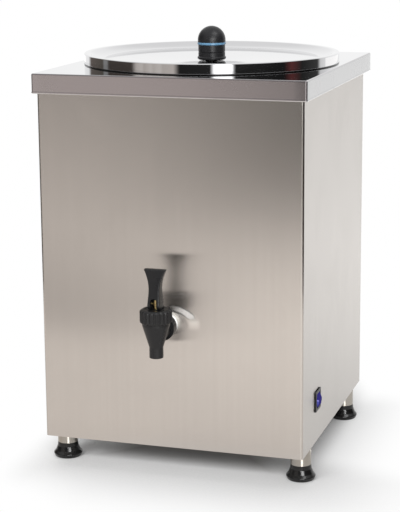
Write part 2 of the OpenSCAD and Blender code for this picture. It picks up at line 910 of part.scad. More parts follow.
module tap_bonnet() {
    r = (bonnet_d - bonnet_rib_d) / 2;
    color("#1a1b1c") in_frame() at_tap(0) difference() {
        union() {
            turned(rounded([
                [0, barrel_top, 0],
                [r, barrel_top, 0.6],
                [r, bonnet_top - bonnet_chamfer, 1],
                [r - bonnet_chamfer, bonnet_top, 1],
                [0, bonnet_top, 0]
            ]));
            for (i = [0:bonnet_ribs - 1])
                rotate(i * 360 / bonnet_ribs) translate([r, 0, barrel_top + 1])
                    cylinder(h = bonnet_h - bonnet_chamfer - 2, d = bonnet_rib_d, $fn = 32);
        }
        translate([0, 0, barrel_top - slack])
            cylinder(h = seat_ceiling - barrel_top + slack, r = thread_r + thread_gap);
        translate([0, 0, barrel_top]) cylinder(h = bonnet_h + slack, d = stem_d + 2 * run_gap);
    }
}

// A silicone cup: its rim is held under the bonnet and its closed end plugs the spout
module tap_seat() {
    neck_r = stem_button_r + seat_wall;
    cup_r = chamber_r - foam_gap;
    shoulder = barrel_top + thread_h - seat_wall;
    bore_top = tap_z + tap_bore_r;
    color("tan") in_frame() at_tap(0) turned([
        [0, seat_z + touch_gap],
        [seat_r - foam_gap, seat_z + touch_gap],
        [neck_r, stem_button_z],
        [neck_r, bore_top],
        [cup_r, shoulder],
        [cup_r, barrel_top + thread_h],
        [thread_r, barrel_top + thread_h],
        [thread_r, seat_ceiling],
        [cup_r - seat_wall, seat_ceiling],
        [cup_r - seat_wall, shoulder + seat_wall],
        [stem_button_r + touch_gap, bore_top + seat_wall],
        [stem_button_r + touch_gap, stem_button_z],
        [0, stem_button_z]
    ]);
}

module tap_stem() {
    color("goldenrod") in_frame() at_tap(0) difference() {
        union() {
            translate([0, 0, stem_button_z]) cylinder(h = stem_button_h, r = stem_button_r);
            translate([0, 0, stem_button_z]) cylinder(h = stem_top - stem_button_z, d = stem_d);
        }
        translate([0, 0, pin_z]) rod_x(-stem_d, stem_d, pin_d / 2 + run_gap);
    }
}

// Half the lever's width at a share t of its height: drawn in to the neck, then flared to the top
function lever_half(t) = t < lever_neck_at
    ? (lever_neck_w + (lever_base_w - lever_neck_w) * (1 + cos(180 * t / lever_neck_at)) / 2) / 2
    : (lever_neck_w + (lever_top_w - lever_neck_w) * pow((t - lever_neck_at) / (1 - lever_neck_at), 2)) / 2;

module lever_front() {
    steps = 12;
    z0 = pin_z - cam_r;
    right = [for (i = [0:steps]) [lever_half(i / steps), z0 + (lever_top - z0) * i / steps]];
    left = [for (i = [0:steps]) [-right[steps - i].x, right[steps - i].y]];
    polygon(concat(right, left));
}

// The lever from the side: y runs to the back, measured from the pin
module lever_side() {
    up = lever_top - pin_z;
    polygon(concat(
        [for (a = [180:6:270]) [cam_r * cos(a) - cam_offset, cam_r * sin(a)]],
        [[lever_heel, -cam_r], [lever_heel, cam_r], [lever_top_t / 2, up], [-lever_top_t / 2, up]]
    ));
}

module tap_handle() {
    color("#1c1d1f") in_frame() at_tap(0) difference() {
        intersection() {
            translate([0, lever_top_w, 0]) rotate([90, 0, 0]) linear_extrude(2 * lever_top_w) lever_front();
            translate([-lever_top_w, 0, pin_z])
                rotate([90, 0, 90]) linear_extrude(2 * lever_top_w) lever_side();
        }
        stem_slot();
        translate([0, 0, pin_z]) rod_x(-lever_top_w, lever_top_w, pin_d / 2 + thread_gap / 2);
    }
}

// The slot in the lever's base, open to the front and below, that the stem stands in
module stem_slot() {
    w = stem_d + 2 * slot_gap;
    front = cam_offset + 2 * cam_r;
    bottom = pin_z - cam_r - slack;
    translate([-w / 2, -front, bottom])
        cube([w, front + stem_d / 2 + slot_room, stem_top + slot_room - bottom]);
}

module tap_pin() {
    half = lever_base_w / 2 - pin_inset;
    color("goldenrod") in_frame() at_tap(pin_z) rod_x(-half, half, pin_d / 2);
}

// Switch

module switch_housing() {
    cavity_r = rocker_r + rocker_gap;
    socket_y = rocker_w / 2 + rocker_gap + pivot_l;
    color("#26272a") in_frame() difference() {
        translate([0, switch_y, switch_z]) {
            translate([switch_x, -bezel_w / 2, -bezel_h / 2]) cube([bezel_t, bezel_w, bezel_h]);
            translate([switch_x - housing_depth, -housing_w / 2, -housing_h / 2])
                cube([housing_depth, housing_w, housing_h]);
        }
        translate([pivot_x - cavity_r, switch_y - rocker_w / 2 - rocker_gap, switch_z - cavity_r])
            cube([2 * cavity_r + bezel_t, rocker_w + 2 * rocker_gap, 2 * cavity_r]);
        translate([pivot_x, switch_y, switch_z]) rod_y(-socket_y, socket_y, pivot_r + run_gap);
    }
}

// The rocker's outline from the side: x runs outwards from the pivot
module rocker_side() {
    polygon(rounded([
        [-rocker_half / 2, -rocker_half / 2, 0.8],
        [rocker_nose, -rocker_half, 0.6],
        [rocker_ridge, 0, 6],
        [rocker_nose, rocker_half, 0.6],
        [-rocker_half / 2, rocker_half / 2, 0.8]
    ]));
}

module switch_rocker() {
    tip = rocker_gap + pivot_l - run_gap;
    color("blue") in_frame() translate([pivot_x, switch_y, switch_z]) rotate([0, -rocker_tilt, 0]) {
        translate([0, rocker_w / 2, 0]) rotate([90, 0, 0]) linear_extrude(rocker_w) rocker_side();
        rod_y(-rocker_w / 2 - tip, rocker_w / 2 + tip, pivot_r);
    }
}

module switch_contacts() {
    color("goldenrod") in_frame()
        for (s = [-1, 1])
            translate([switch_x - housing_depth - contact_l, switch_y - contact_w / 2,
                       switch_z + s * contact_z - contact_t / 2])
                cube([contact_l, contact_w, contact_t]);
}

// Feet

module foot_sleeves() {
    color("silver") in_frame()
        for (p = feet)
            translate([p.x, p.y, rubber_top]) difference() {
                cylinder(h = foot_sleeve_h, d = foot_sleeve_d);
                translate([0, 0, -slack])
                    cylinder(h = foot_sleeve_h + 2 * slack, d = foot_bolt_d + 2 * thread_gap);
            }
}

module foot_rubbers() {
    r = foot_rubber_d / 2;
    bore = foot_bolt_d / 2 + thread_gap;
    well = bolt_head_r + bolt_well_gap;
    neck = foot_sleeve_d / 2;
    color("#17181a") in_frame()
        for (p = feet)
            translate([p.x, p.y, 0]) turned(rounded([
                [bore, bolt_seat, 0],
                [well, bolt_seat, 0],
                [well, 0, 0],
                [r - rubber_tread, 0, 2],
                [r, rubber_widest, 1.8],
                [r - rubber_waist_in, rubber_waist, 3],
                [neck + rubber_neck_rim, rubber_top - rubber_neck, 3],
                [neck, rubber_top, 0],
                [bore, rubber_top, 0]
            ]));
}

module foot_bolts() {
    color("lightgray") in_frame()
        for (p = feet)
            translate([p.x, p.y, 0]) {
                translate([0, 0, bolt_seat - bolt_head_h])
                    cylinder(h = bolt_head_h, r = bolt_head_r, $fn = 6);
                translate([0, 0, bolt_seat])
                    cylinder(h = plate_top + nut_h + bolt_end - bolt_seat, d = foot_bolt_d);
            }
}

module foot_nuts() {
    color("lightgray") in_frame()
        for (p = feet)
            translate([p.x, p.y, plate_top]) difference() {
                cylinder(h = nut_h, r = bolt_head_r, $fn = 6);
                translate([0, 0, -slack])
                    cylinder(h = nut_h + 2 * slack, d = foot_bolt_d + 2 * thread_gap);
            }
}

// Cooling

module cold_plate() {
    color("lightgray") in_frame() at_vessel(cold_bottom) block(cold_w, cold_w, cold_h);
}

module thermoelectric_module() {
    color("white") in_frame() at_vessel(sink_top) block(module_w, module_w, module_h);
}

function sink_screw_places() =
    [for (sx = [-1, 1], sy = [-1, 1]) [sx * sink_screw_x, vessel_y + sy * sink_screw_x]];

function fan_screw_places() =
    [for (sx = [-1, 1], sy = [-1, 1]) [sx * fan_pitch / 2, vessel_y + sy * fan_pitch / 2]];

module heat_sink() {
    color("darkgray") in_frame() difference() {
        at_vessel(0) {
            translate([0, 0, fin_top]) block(sink_w, sink_w, sink_base);
            for (i = [0:fin_count - 1])
                translate([(i - (fin_count - 1) / 2) * fin_pitch, 0, fan_top])
                    block(fin_t, sink_w, fin_h);
        }
        for (p = sink_screw_places())
            translate([p.x, p.y, fan_top - slack]) {
                cylinder(h = fin_h + sink_base + 2 * slack, d = screw_d + 2 * hole_gap);
                cylinder(h = fin_h + slack, d = screw_head_d + 2 * hole_gap);
            }
        for (p = fan_screw_places())
            translate([p.x, p.y, fan_top - slack])
                cylinder(h = fin_h, d = screw_d + 2 * thread_gap);
    }
}

module sink_screws() {
    color("dimgray") in_frame()
        for (p = sink_screw_places())
            translate([p.x, p.y, fin_top]) screw_up(sink_base + sheet_t + screw_grip);
}

module fan_frame() {
    color("#222326") in_frame() at_vessel(fan_bottom) difference() {
        union() {
            difference() {
                block(fan_w, fan_w, fan_h);
                translate([0, 0, -slack]) cylinder(h = fan_h + 2 * slack, r = fan_bore_r);
            }
            cylinder(h = fan_plate, r = fan_hub_r);
            for (a = [45:90:315])
                rotate(a) translate([fan_hub_r - blade_root, -fan_spoke_w / 2, 0])
                    cube([fan_bore_r - fan_hub_r + 2 * blade_root, fan_spoke_w, fan_plate]);
        }
        translate([0, 0, -slack]) cylinder(h = fan_plate + 2 * slack, r = fan_shaft_r + run_gap);
        for (sx = [-1, 1], sy = [-1, 1])
            translate([sx * fan_pitch / 2, sy * fan_pitch / 2, -slack])
                cylinder(h = fan_h + 2 * slack, d = screw_d + 2 * hole_gap);
    }
}

module fan_rotor() {
    hub_bottom = fan_plate + fan_lift;
    hub_h = fan_h - hub_bottom - fan_end_gap;
    tip_r = fan_bore_r - blade_gap;
    color("#303236") in_frame() at_vessel(fan_bottom) {
        translate([0, 0, hub_bottom]) cylinder(h = hub_h, r = fan_hub_r);
        translate([0, 0, fan_lift]) cylinder(h = hub_bottom, r = fan_shaft_r);
        intersection() {
            translate([0, 0, hub_bottom + blade_gap]) cylinder(h = hub_h - 2 * blade_gap, r = tip_r);
            for (i = [0:fan_blades - 1])
                rotate(i * 360 / fan_blades)
                    translate([fan_hub_r - blade_root, 0, hub_bottom + hub_h / 2])
                        rotate([blade_angle, 0, 0]) translate([0, -fan_h, -blade_t / 2])
                            cube([fan_w / 2, 2 * fan_h, blade_t]);
        }
    }
}

module fan_screws() {
    color("dimgray") in_frame()
        for (p = fan_screw_places()) translate([p.x, p.y, fan_bottom]) screw_up(fan_h + fin_h / 2);
}

// Power

function supply_screw_places() =
    [for (sx = [0, 1], sy = [0, 1])
        [supply_x + supply_screw_in + sx * (supply_w - 2 * supply_screw_in),
         supply_y + supply_screw_in + sy * (supply_d - 2 * supply_screw_in)]];

module power_supply() {
    color("silver") in_frame() difference() {
        translate([supply_x, supply_y, plate_top]) cube([supply_w, supply_d, supply_h]);
        for (p = supply_screw_places())
            translate([p.x, p.y, plate_top - slack])
                cylinder(h = slack + supply_screw_l + thread_gap, d = screw_d + 2 * thread_gap);
        for (i = [0:supply_slots - 1])
            translate([supply_x + supply_w / 2,
                       supply_y + supply_d / 2 + (i - (supply_slots - 1) / 2) * supply_slot_pitch,
                       plate_top + supply_h - supply_slot_depth])
                linear_extrude(supply_slot_depth + slack)
                    round_slot(supply_w - 2 * supply_slot_side, supply_slot_w);
    }
}

module supply_screws() {
    color("dimgray") in_frame()
        for (p = supply_screw_places())
            translate([p.x, p.y, plate_bottom]) screw_up(sheet_t + supply_screw_l);
}

module power_inlet() {
    w = inlet_w - 2 * inlet_body_in;
    h = inlet_h - 2 * inlet_body_in;
    color("#1e1f22") in_frame() translate([inlet_x, back_y, inlet_z]) difference() {
        union() {
            translate([-inlet_w / 2, 0, -inlet_h / 2]) cube([inlet_w, inlet_flange_t, inlet_h]);
            translate([-w / 2, -inlet_depth, -h / 2]) cube([w, inlet_depth, h]);
        }
        translate([inlet_wall - w / 2, inlet_wall - inlet_depth, inlet_wall - h / 2])
            cube([w - 2 * inlet_wall, inlet_depth + inlet_flange_t, h - 2 * inlet_wall]);
        inlet_blades(thread_gap);
    }
}

// Three blades: two low, one high in the middle, through the back of the inlet
module inlet_blades(gap) {
    for (p = [[-blade_side, blade_low], [blade_side, blade_low], [0, blade_high]])
        translate([p.x - blade_w / 2 - gap, -inlet_depth - blade_tail, p.y - blade_h / 2 - gap])
            cube([blade_w + 2 * gap, inlet_depth + blade_tail - blade_setback, blade_h + 2 * gap]);
}

module inlet_pins() {
    color("goldenrod") in_frame() translate([inlet_x, back_y, inlet_z]) inlet_blades(0);
}

// Two leads on the base plate: inlet to switch, and switch to power supply
module mains_leads() {
    lay = plate_top + lead_d / 2;
    blade = [inlet_x + blade_side, back_y - inlet_depth - blade_tail, inlet_z + blade_low];
    back = blade.y - lead_turn;
    tab_x = switch_x - housing_depth - contact_l;
    near_x = tab_x - lead_turn / 2;
    far_x = near_x - lead_turn;
    front = front_y + lead_front;
    supply_in = supply_x + lead_turn;
    low = switch_z - contact_z;
    high = switch_z + contact_z;
    color("#333333") in_frame() {
        lead([blade, [blade.x, back, blade.z], [blade.x, back, lay], [blade.x, switch_y, lay],
              [near_x, switch_y, lay], [near_x, switch_y, low], [tab_x, switch_y, low]]);
        lead([[tab_x, switch_y, high], [far_x, switch_y, high], [far_x, front, high], [far_x, front, lay],
              [supply_in, front, lay], [supply_in, supply_y, lay]]);
    }
}

// The fan's lead, from the power supply's front up to the fan
module low_voltage_leads() {
    lay = plate_top + supply_h / 2;
    x = supply_x + supply_w / 2;
    front = supply_y - lead_turn;
    z = fan_bottom + fan_h / 2;
    color("firebrick") in_frame()
        lead([[x, supply_y, lay], [x, front, lay], [x, front, z], [x, vessel_y, z],
              [-fan_w / 2, vessel_y, z]]);
}

casing_wrap();
rear_panel();
rear_screws();
base_plate();
top_cover();
deck_plate();
vessel();
outlet_socket();
insulation_wall();
insulation_floor();
lid_shell();
lid_seal();
lid_liner();
lid_insulation();
knob_base();
knob_ring();
knob_dome();
knob_screw();
tap_body();
tap_washer();
tap_bonnet();
tap_seat();
tap_stem();
tap_handle();
tap_pin();
switch_housing();
switch_rocker();
switch_contacts();
foot_sleeves();
foot_rubbers();
foot_bolts();
foot_nuts();
cold_plate();
thermoelectric_module();
heat_sink();
sink_screws();
fan_frame();
fan_rotor();
fan_screws();
power_supply();
supply_screws();
power_inlet();
inlet_pins();
mains_leads();
low_voltage_leads();
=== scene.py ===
# %% [markdown]
# # An insulated milk dispenser
#
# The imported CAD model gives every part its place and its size, in metres, in one frame:
# +Z is up, -Y comes out of the front panel and X = 0 runs through the middle of the casing.
# This lesson dresses that frame. Parts whose solids are already right keep them and get a
# finish; parts whose curves matter in the light are worked out again as smooth surfaces.

# %% Load the frame
import json
import math

import bmesh
import bpy
import numpy as np
from mathutils import Matrix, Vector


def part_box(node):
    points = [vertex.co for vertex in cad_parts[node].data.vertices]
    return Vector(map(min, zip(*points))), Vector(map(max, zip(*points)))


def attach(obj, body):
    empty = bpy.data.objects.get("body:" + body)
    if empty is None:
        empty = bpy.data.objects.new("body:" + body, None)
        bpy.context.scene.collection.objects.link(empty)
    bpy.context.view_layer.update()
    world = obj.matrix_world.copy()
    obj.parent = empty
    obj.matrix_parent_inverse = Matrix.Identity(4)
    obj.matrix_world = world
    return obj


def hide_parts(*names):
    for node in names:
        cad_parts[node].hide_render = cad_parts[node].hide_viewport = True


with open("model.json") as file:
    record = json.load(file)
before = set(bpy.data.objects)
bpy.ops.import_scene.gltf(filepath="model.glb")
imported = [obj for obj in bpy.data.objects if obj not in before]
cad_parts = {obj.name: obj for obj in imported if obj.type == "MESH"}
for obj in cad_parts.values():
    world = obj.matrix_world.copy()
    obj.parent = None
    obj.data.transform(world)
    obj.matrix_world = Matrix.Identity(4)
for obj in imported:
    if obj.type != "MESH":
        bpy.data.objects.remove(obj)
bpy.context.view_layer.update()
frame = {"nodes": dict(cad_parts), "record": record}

cad = frame["nodes"]

# %% [markdown]
# ## Camera
#
# The picture this model follows was taken from a little above the lid and from the right.
# A pinhole camera was fitted to corners of the casing, the lid's ellipse and the feet. It
# could be aimed with a constraint, but written as three unit vectors (right, down, forward)
# the fit stays readable, and the matrix columns are those vectors with Blender's signs.

# %% Camera
PICTURE_W, PICTURE_H = 400, 512  # pixels of the picture
FOCAL_PX = 1556.6  # focal length in those pixels
CENTRE_PX = np.array([220.0, 220.0])  # where the optical axis meets the picture
EYE = np.array([0.53049, -1.69367, 0.62372])
YAW, PITCH, ROLL = np.radians([-16.861, 11.384, 0.331])
SENSOR = 36.0  # millimetres, along the picture's longer side


def set_pose(thing, x_axis, y_axis, z_axis, place):
    """Puts a camera or lamp at a place, with its own axes along three unit vectors."""
    pose = np.eye(4)
    pose[:3] = np.column_stack([x_axis, y_axis, z_axis, place])
    thing.matrix_world = Matrix(pose.tolist())


forward = np.array([np.sin(YAW) * np.cos(PITCH), np.cos(YAW) * np.cos(PITCH), -np.sin(PITCH)])
level = np.array([np.cos(YAW), -np.sin(YAW), 0.0])
below = np.cross(forward, level)
right = np.cos(ROLL) * level + np.sin(ROLL) * below
down = np.cos(ROLL) * below - np.sin(ROLL) * level

scene = bpy.context.scene
optics = bpy.data.cameras.new("camera")
camera = bpy.data.objects.new("camera", optics)
scene.collection.objects.link(camera)
scene.camera = camera
set_pose(camera, right, -down, -forward, EYE)
optics.sensor_width = SENSOR
optics.lens = FOCAL_PX * SENSOR / PICTURE_H
optics.shift_x = (PICTURE_W / 2 - CENTRE_PX[0]) / PICTURE_H
optics.shift_y = (CENTRE_PX[1] - PICTURE_H / 2) / PICTURE_H
optics.clip_start = 0.05
optics.clip_end = 50.0
scene.view_settings.view_transform = "Standard"
print("lens", round(optics.lens, 2), "mm, shift", round(optics.shift_x, 4), round(optics.shift_y, 4))

# %% [markdown]
# ## Building shader nodes
#
# Every finish here is a small node tree. Trees can be wired by hand in the Shader Editor, but
# written down they can be read and shared. `put` adds a node and sets or links its sockets;
# the other helpers are the nodes that come back most often.

# %% Node helpers
def feed(tree, node, sockets):
    """For each socket named, links an output to it or sets its value."""
    for name, value in sockets.items():
        if isinstance(value, bpy.types.NodeSocket):
            tree.links.new(value, node.inputs[name])
        else:
            node.inputs[name].default_value = value


def put(tree, kind, sockets=None, **settings):
    """Adds a node, sets its properties and feeds its sockets."""
    node = tree.nodes.new(kind)
    for name, value in settings.items():
        setattr(node, name, value)
    feed(tree, node, sockets or {})
    return node


def maths(tree, operation, a, b=0.0, clamp=False):
    """One Math node: a operation b."""
    return put(tree, "ShaderNodeMath", {0: a, 1: b}, operation=operation, use_clamp=clamp).outputs[0]


def times(tree, a, b):
    """The product of two values."""
    return maths(tree, "MULTIPLY", a, b)


def vectors(tree, operation, a, b=(0.0, 0.0, 0.0)):
    """One Vector Math node that puts out a vector: a operation b."""
    return put(tree, "ShaderNodeVectorMath", {0: a, 1: b}, operation=operation).outputs["Vector"]


def length(tree, vector):
    """How long a vector is."""
    return put(tree, "ShaderNodeVectorMath", {0: vector}, operation="LENGTH").outputs["Value"]


def split(tree, vector):
    """The X, Y and Z of a vector."""
    return put(tree, "ShaderNodeSeparateXYZ", {0: vector}).outputs


def joined(tree, **axes):
    """A vector from its X, Y and Z, with 0 for those left out."""
    return put(tree, "ShaderNodeCombineXYZ", axes).outputs[0]


def noise(tree, **sockets):
    """The value of a Noise Texture."""
    return put(tree, "ShaderNodeTexNoise", sockets).outputs["Fac"]


def heading(tree, vector):
    """The compass angle of a vector in radians: 0 to the front, positive to the right."""
    at = split(tree, vector)
    return maths(tree, "ARCTAN2", at["X"], times(tree, at["Y"], -1.0))


# %% Ranges and colours
def mapped(tree, value, start, end, low=0.0, high=1.0, **settings):
    """Goes from low to high as value goes from start to end, and stays there beyond both."""
    sockets = {"Value": value, "From Min": start, "From Max": end, "To Min": low, "To Max": high}
    return put(tree, "ShaderNodeMapRange", sockets, **settings).outputs[0]


def step(tree, value, start, end):
    """Rises smoothly from 0 at start to 1 at end; start may be the larger of the two."""
    return mapped(tree, value, start, end, interpolation_type="SMOOTHSTEP")


def between(tree, factor, low, high):
    """Goes from low to high as factor goes from 0 to 1."""
    return mapped(tree, factor, 0.0, 1.0, low, high)


def grey(level):
    """A neutral colour of that linear level."""
    return (level, level, level)


def scaled(colour, factor):
    """A colour made darker or lighter by a factor."""
    return tuple(channel * factor for channel in colour)


MIX_FACTOR, MIX_A, MIX_B, MIX_RESULT = 0, 6, 7, 2  # places of a Mix node's sockets for colours


def blend(tree, factor, first, second):
    """A colour that goes from first to second as factor goes from 0 to 1."""
    first, second = (c if isinstance(c, bpy.types.NodeSocket) else (*c, 1.0) for c in (first, second))
    sockets = {MIX_FACTOR: factor, MIX_A: first, MIX_B: second}
    return put(tree, "ShaderNodeMix", sockets, data_type="RGBA").outputs[MIX_RESULT]


def ramp(tree, factor, stops):
    """A Color Ramp with the stops (position, colour)."""
    node = put(tree, "ShaderNodeValToRGB", {"Fac": factor})
    elements = node.color_ramp.elements
    while len(elements) < len(stops):
        elements.new(1.0)
    for element, (place, colour) in zip(elements, stops):
        element.position = place
        element.color = (*colour, 1.0)
    return node.outputs["Color"]


# %% [markdown]
# ## Studio
#
# Polished sheet has hardly any colour of its own: it shows the room. The room here is a plain
# photographer's one. Behind the dispenser all is white; in front, behind the camera, it is dim,
# with one tall soft light beside the camera and a pale wall to the left. This could be built
# from cards and lamps, but steel only needs to know what lies in each direction, so the world
# holds it as one ramp round the compass. Matt surfaces take their light from two large lamps,
# overhead and in front, and an even fill, which keeps a written colour about as it is written.

# %% World
COMPASS = [  # degrees from the front, positive to the right, and what metal sees there
    (-180, grey(1.0)), (-128, grey(0.95)),  # white behind
    (-121, (0.13, 0.11, 0.10)), (-97, (0.09, 0.08, 0.07)),  # the dim end on the left
    (-94, grey(0.24)), (-90, grey(0.22)),  # with a narrow grey edge
    (-87, (0.06, 0.05, 0.045)), (-58, (0.06, 0.05, 0.045)),
    (-53, (0.50, 0.46, 0.43)), (-47, (0.56, 0.52, 0.49)),  # the pale wall in four panels
    (-45, (0.46, 0.42, 0.39)), (-38, (0.57, 0.53, 0.50)),
    (-36, (0.50, 0.46, 0.43)), (-29, (0.58, 0.54, 0.51)),
    (-27, (0.48, 0.44, 0.41)), (-17, (0.52, 0.475, 0.445)),
    (-12, grey(0.016)), (16, grey(0.02)),  # darkness in the middle
    (20.5, grey(2.2)), (33.5, grey(2.2)),  # the tall soft light
    (37, grey(0.02)), (84, grey(0.012)),  # the dim end on the right
    (92, (0.10, 0.03, 0.03)), (104, grey(0.02)), (126, grey(0.05)),  # with a patch of red
    (130, grey(0.72)), (150, grey(1.0)), (180, grey(1.0)),  # white behind
]
CEILING = grey(0.86)
CEILING_FROM, CEILING_FULL = 0.42, 0.70  # Z of a ray at which the ceiling begins, and is all it sees
FILL = grey(0.42)  # the even light on matt surfaces


def blank_tree(owner):
    """Turns on nodes for a material or the world and returns its emptied tree."""
    owner.use_nodes = True
    owner.node_tree.nodes.clear()
    return owner.node_tree


def ray_kinds(tree):
    """Two masks: 1 for the camera's own rays, and 1 for rays from metal or glass, unless a matt
    surface scattered them before."""
    path = put(tree, "ShaderNodeLightPath").outputs
    sharp = maths(tree, "MAXIMUM", path["Is Glossy Ray"], path["Is Transmission Ray"])
    return path["Is Camera Ray"], maths(tree, "SUBTRACT", sharp, path["Diffuse Depth"], clamp=True)


world = bpy.data.worlds.new("studio")
scene.world = world
# Sampled as a lamp, the world would light metal with its fill. Reflected rays find the room.
world.cycles.sampling_method = "NONE"
tree = blank_tree(world)
ray = put(tree, "ShaderNodeTexCoord").outputs["Generated"]
turn = mapped(tree, heading(tree, ray), -math.pi, math.pi)
room = ramp(tree, turn, [((angle + 180) / 360, colour) for angle, colour in COMPASS])
upward = mapped(tree, split(tree, ray)["Z"], CEILING_FROM, CEILING_FULL)
from_camera, from_metal = ray_kinds(tree)
shown = blend(tree, from_metal, FILL, blend(tree, upward, room, CEILING))
shown = blend(tree, from_camera, shown, grey(1.0))
background = put(tree, "ShaderNodeBackground", {"Color": shown, "Strength": 1.0})
put(tree, "ShaderNodeOutputWorld", {"Surface": background.outputs[0]})
print("the room has", len(COMPASS), "stops round the compass")

# %% Lamps
AIM = (0.0, 0.0, 0.2)  # the point in the casing that lamps look at


def unit(vector):
    """The vector of length 1 in the same direction."""
    return vector / np.linalg.norm(vector)


def soft_lamp(name, place, width, height, power, look_at=AIM, upright=(0.0, 1.0, 0.0), receivers=None):
    """A flat lamp at place that looks at a point, with its height along upright. Gloss doesn't show it,
    unless it has receivers: then it lights that collection alone, and shows in its gloss."""
    data = bpy.data.lights.new(name, "AREA")
    data.shape = "RECTANGLE"
    data.size = width
    data.size_y = height
    data.energy = power
    lamp = bpy.data.objects.new(name, data)
    scene.collection.objects.link(lamp)
    out = unit(np.array(place) - np.array(look_at))
    side = unit(np.cross(upright, out))
    set_pose(lamp, side, np.cross(out, side), out, place)
    lamp.visible_glossy = receivers is not None
    lamp.light_linking.receiver_collection = receivers
    return lamp


soft_lamp("overhead", place=(-0.35, 0.40, 2.0), width=1.8, height=1.8, power=14.0)
soft_lamp("in_front", place=(0.0, -2.0, 1.3), width=2.8, height=0.7, power=52.0)

# %% [markdown]
# ## Surfaces from arrays
#
# A new piece is a grid of points worked out with numpy: one parameter runs along a profile and
# the other round an axis or along a path. Blender could draw the same shapes with Spin or
# curves, but an array says exactly where each point is, and the whole grid is made at once.

# %% Surface helpers
MERGE_WITHIN = 1e-7  # metres; points closer than this become one


def link_mesh(name, points, faces, smooth_angle=40.0):
    """Puts points and faces into a new object at the origin, merges doubled points, turns faces
    outwards, and shades them smooth up to an angle in degrees."""
    mesh = bpy.data.meshes.new(name)
    mesh.from_pydata(np.asarray(points, float).reshape(-1, 3).tolist(), [], faces)
    work = bmesh.new()
    work.from_mesh(mesh)
    bmesh.ops.remove_doubles(work, verts=work.verts, dist=MERGE_WITHIN)
    bmesh.ops.recalc_face_normals(work, faces=work.faces)
    work.to_mesh(mesh)
    work.free()
    mesh.polygons.foreach_set("use_smooth", np.ones(len(mesh.polygons), bool))
    mesh.set_sharp_from_angle(angle=math.radians(smooth_angle))
    mesh.update()
    piece = bpy.data.objects.new(name, mesh)
    scene.collection.objects.link(piece)
    return piece


def grid_faces(rows, columns, round_rows=False, round_columns=False):
    """The quads of a grid of rows by columns points, joined end to start where it is round."""
    row = np.arange(rows if round_rows else rows - 1)[:, None]
    column = np.arange(columns if round_columns else columns - 1)[None]
    next_row, next_column = (row + 1) % rows, (column + 1) % columns
    corners = [(row, column), (next_row, column), (next_row, next_column), (row, next_column)]
    return np.stack([r * columns + c for r, c in corners], -1).reshape(-1, 4).tolist()


# %% [markdown]
# ## Floor
#
# The dispenser stands on a white sheet. A plane would do for the camera, but metal sees more of
# the sheet than the camera does: the front panel looks some metres forward over it, and the
# right side looks back. So it is a grid that widens towards both its ends.

# %% Floor sheet
FLOOR_FRONT, FLOOR_BACK = -3.6, 5.0  # y of its ends
FLOOR_HALF = 0.95  # half its width beside the casing
FAN_FROM, FAN = -1.0, 0.52  # in front of this y, half the width grows by so much a metre
SWELL_FROM, SWELL = 0.5, 3.0  # behind this y, it grows smoothly by so much in all
FLOOR_ROWS, FLOOR_COLUMNS = 13, 52


def floor_sheet():
    """A level grid x = u half(y): the half width is least beside the casing and grows to both ends."""
    across, lengthways = np.linspace(-1, 1, FLOOR_ROWS), np.linspace(FLOOR_FRONT, FLOOR_BACK, FLOOR_COLUMNS)
    u, y = np.meshgrid(across, lengthways, indexing="ij")
    ease = np.clip((y - SWELL_FROM) / (FLOOR_BACK - SWELL_FROM), 0, 1)
    half = FLOOR_HALF + FAN * np.clip(FAN_FROM - y, 0, None) + SWELL * ease * ease * (3 - 2 * ease)
    return np.stack([u * half, y, np.zeros_like(u)], -1)


floor = link_mesh("floor", floor_sheet(), grid_faces(FLOOR_ROWS, FLOOR_COLUMNS))
print("floor runs from y", FLOOR_FRONT, "to", FLOOR_BACK)

# %% [markdown]
# ## Paper near the feet
#
# Close to the feet the sheet is plain matt paper and takes their shadow; further out it turns
# into even white, so that no horizon shows. Where it turns could be painted, but a formula
# keeps it exact: the distance from the square that the feet stand on, stretched so that the
# shadow ends sooner on the left. Under the middle of the casing the paper is painted darker,
# as painted shade.

# %% Paper near the feet
FEET_MIDDLE, FEET_HALF = (0.0, 0.015, 0.0), (0.15, 0.15, 0.0)
LEFT_STRETCH, RIGHT_STRETCH, MIDDLE_X = 2.6, 0.9, (-0.02, 0.02)  # across, changing between these x
CORNER_STRETCH, FRONT_STRETCH, CORNER_X = 1.5, 1.0, (-0.16, -0.07)  # lengthways, likewise
SOONER, RIGHT_X, RIGHT_Y = 0.058, (0.12, 0.16), (-0.10, -0.02)  # metres, beside the right side
PAPER, FIBRES = [(0.3, grey(0.78)), (0.7, grey(0.82))], 420.0
PAINTED_SHADE_PAPER, PAINTED_SHADE_ZONE = (0.19, 0.17, 0.155), (-0.092, -0.038)  # painted shade under the casing; metres inside the square


def feet_distances(tree, place):
    """Two distances from the square of the feet: the plain one, negative inside it, and the
    stretched one, which is the length of what sticks out of the square."""
    at = split(tree, place)
    beyond = vectors(tree, "ABSOLUTE", vectors(tree, "SUBTRACT", place, FEET_MIDDLE))
    beyond = vectors(tree, "SUBTRACT", beyond, FEET_HALF)
    plain = split(tree, beyond)
    plain = maths(tree, "MAXIMUM", plain["X"], plain["Y"])
    stretch_x = between(tree, step(tree, at["X"], *MIDDLE_X), LEFT_STRETCH, RIGHT_STRETCH)
    stretch_y = between(tree, step(tree, at["X"], *CORNER_X), CORNER_STRETCH, FRONT_STRETCH)
    beyond = vectors(tree, "MAXIMUM", beyond)
    stretched = length(tree, vectors(tree, "MULTIPLY", beyond, joined(tree, X=stretch_x, Y=stretch_y)))
    beside = times(tree, step(tree, at["X"], *RIGHT_X), step(tree, at["Y"], *RIGHT_Y))
    return plain, maths(tree, "ADD", stretched, times(tree, beside, SOONER))


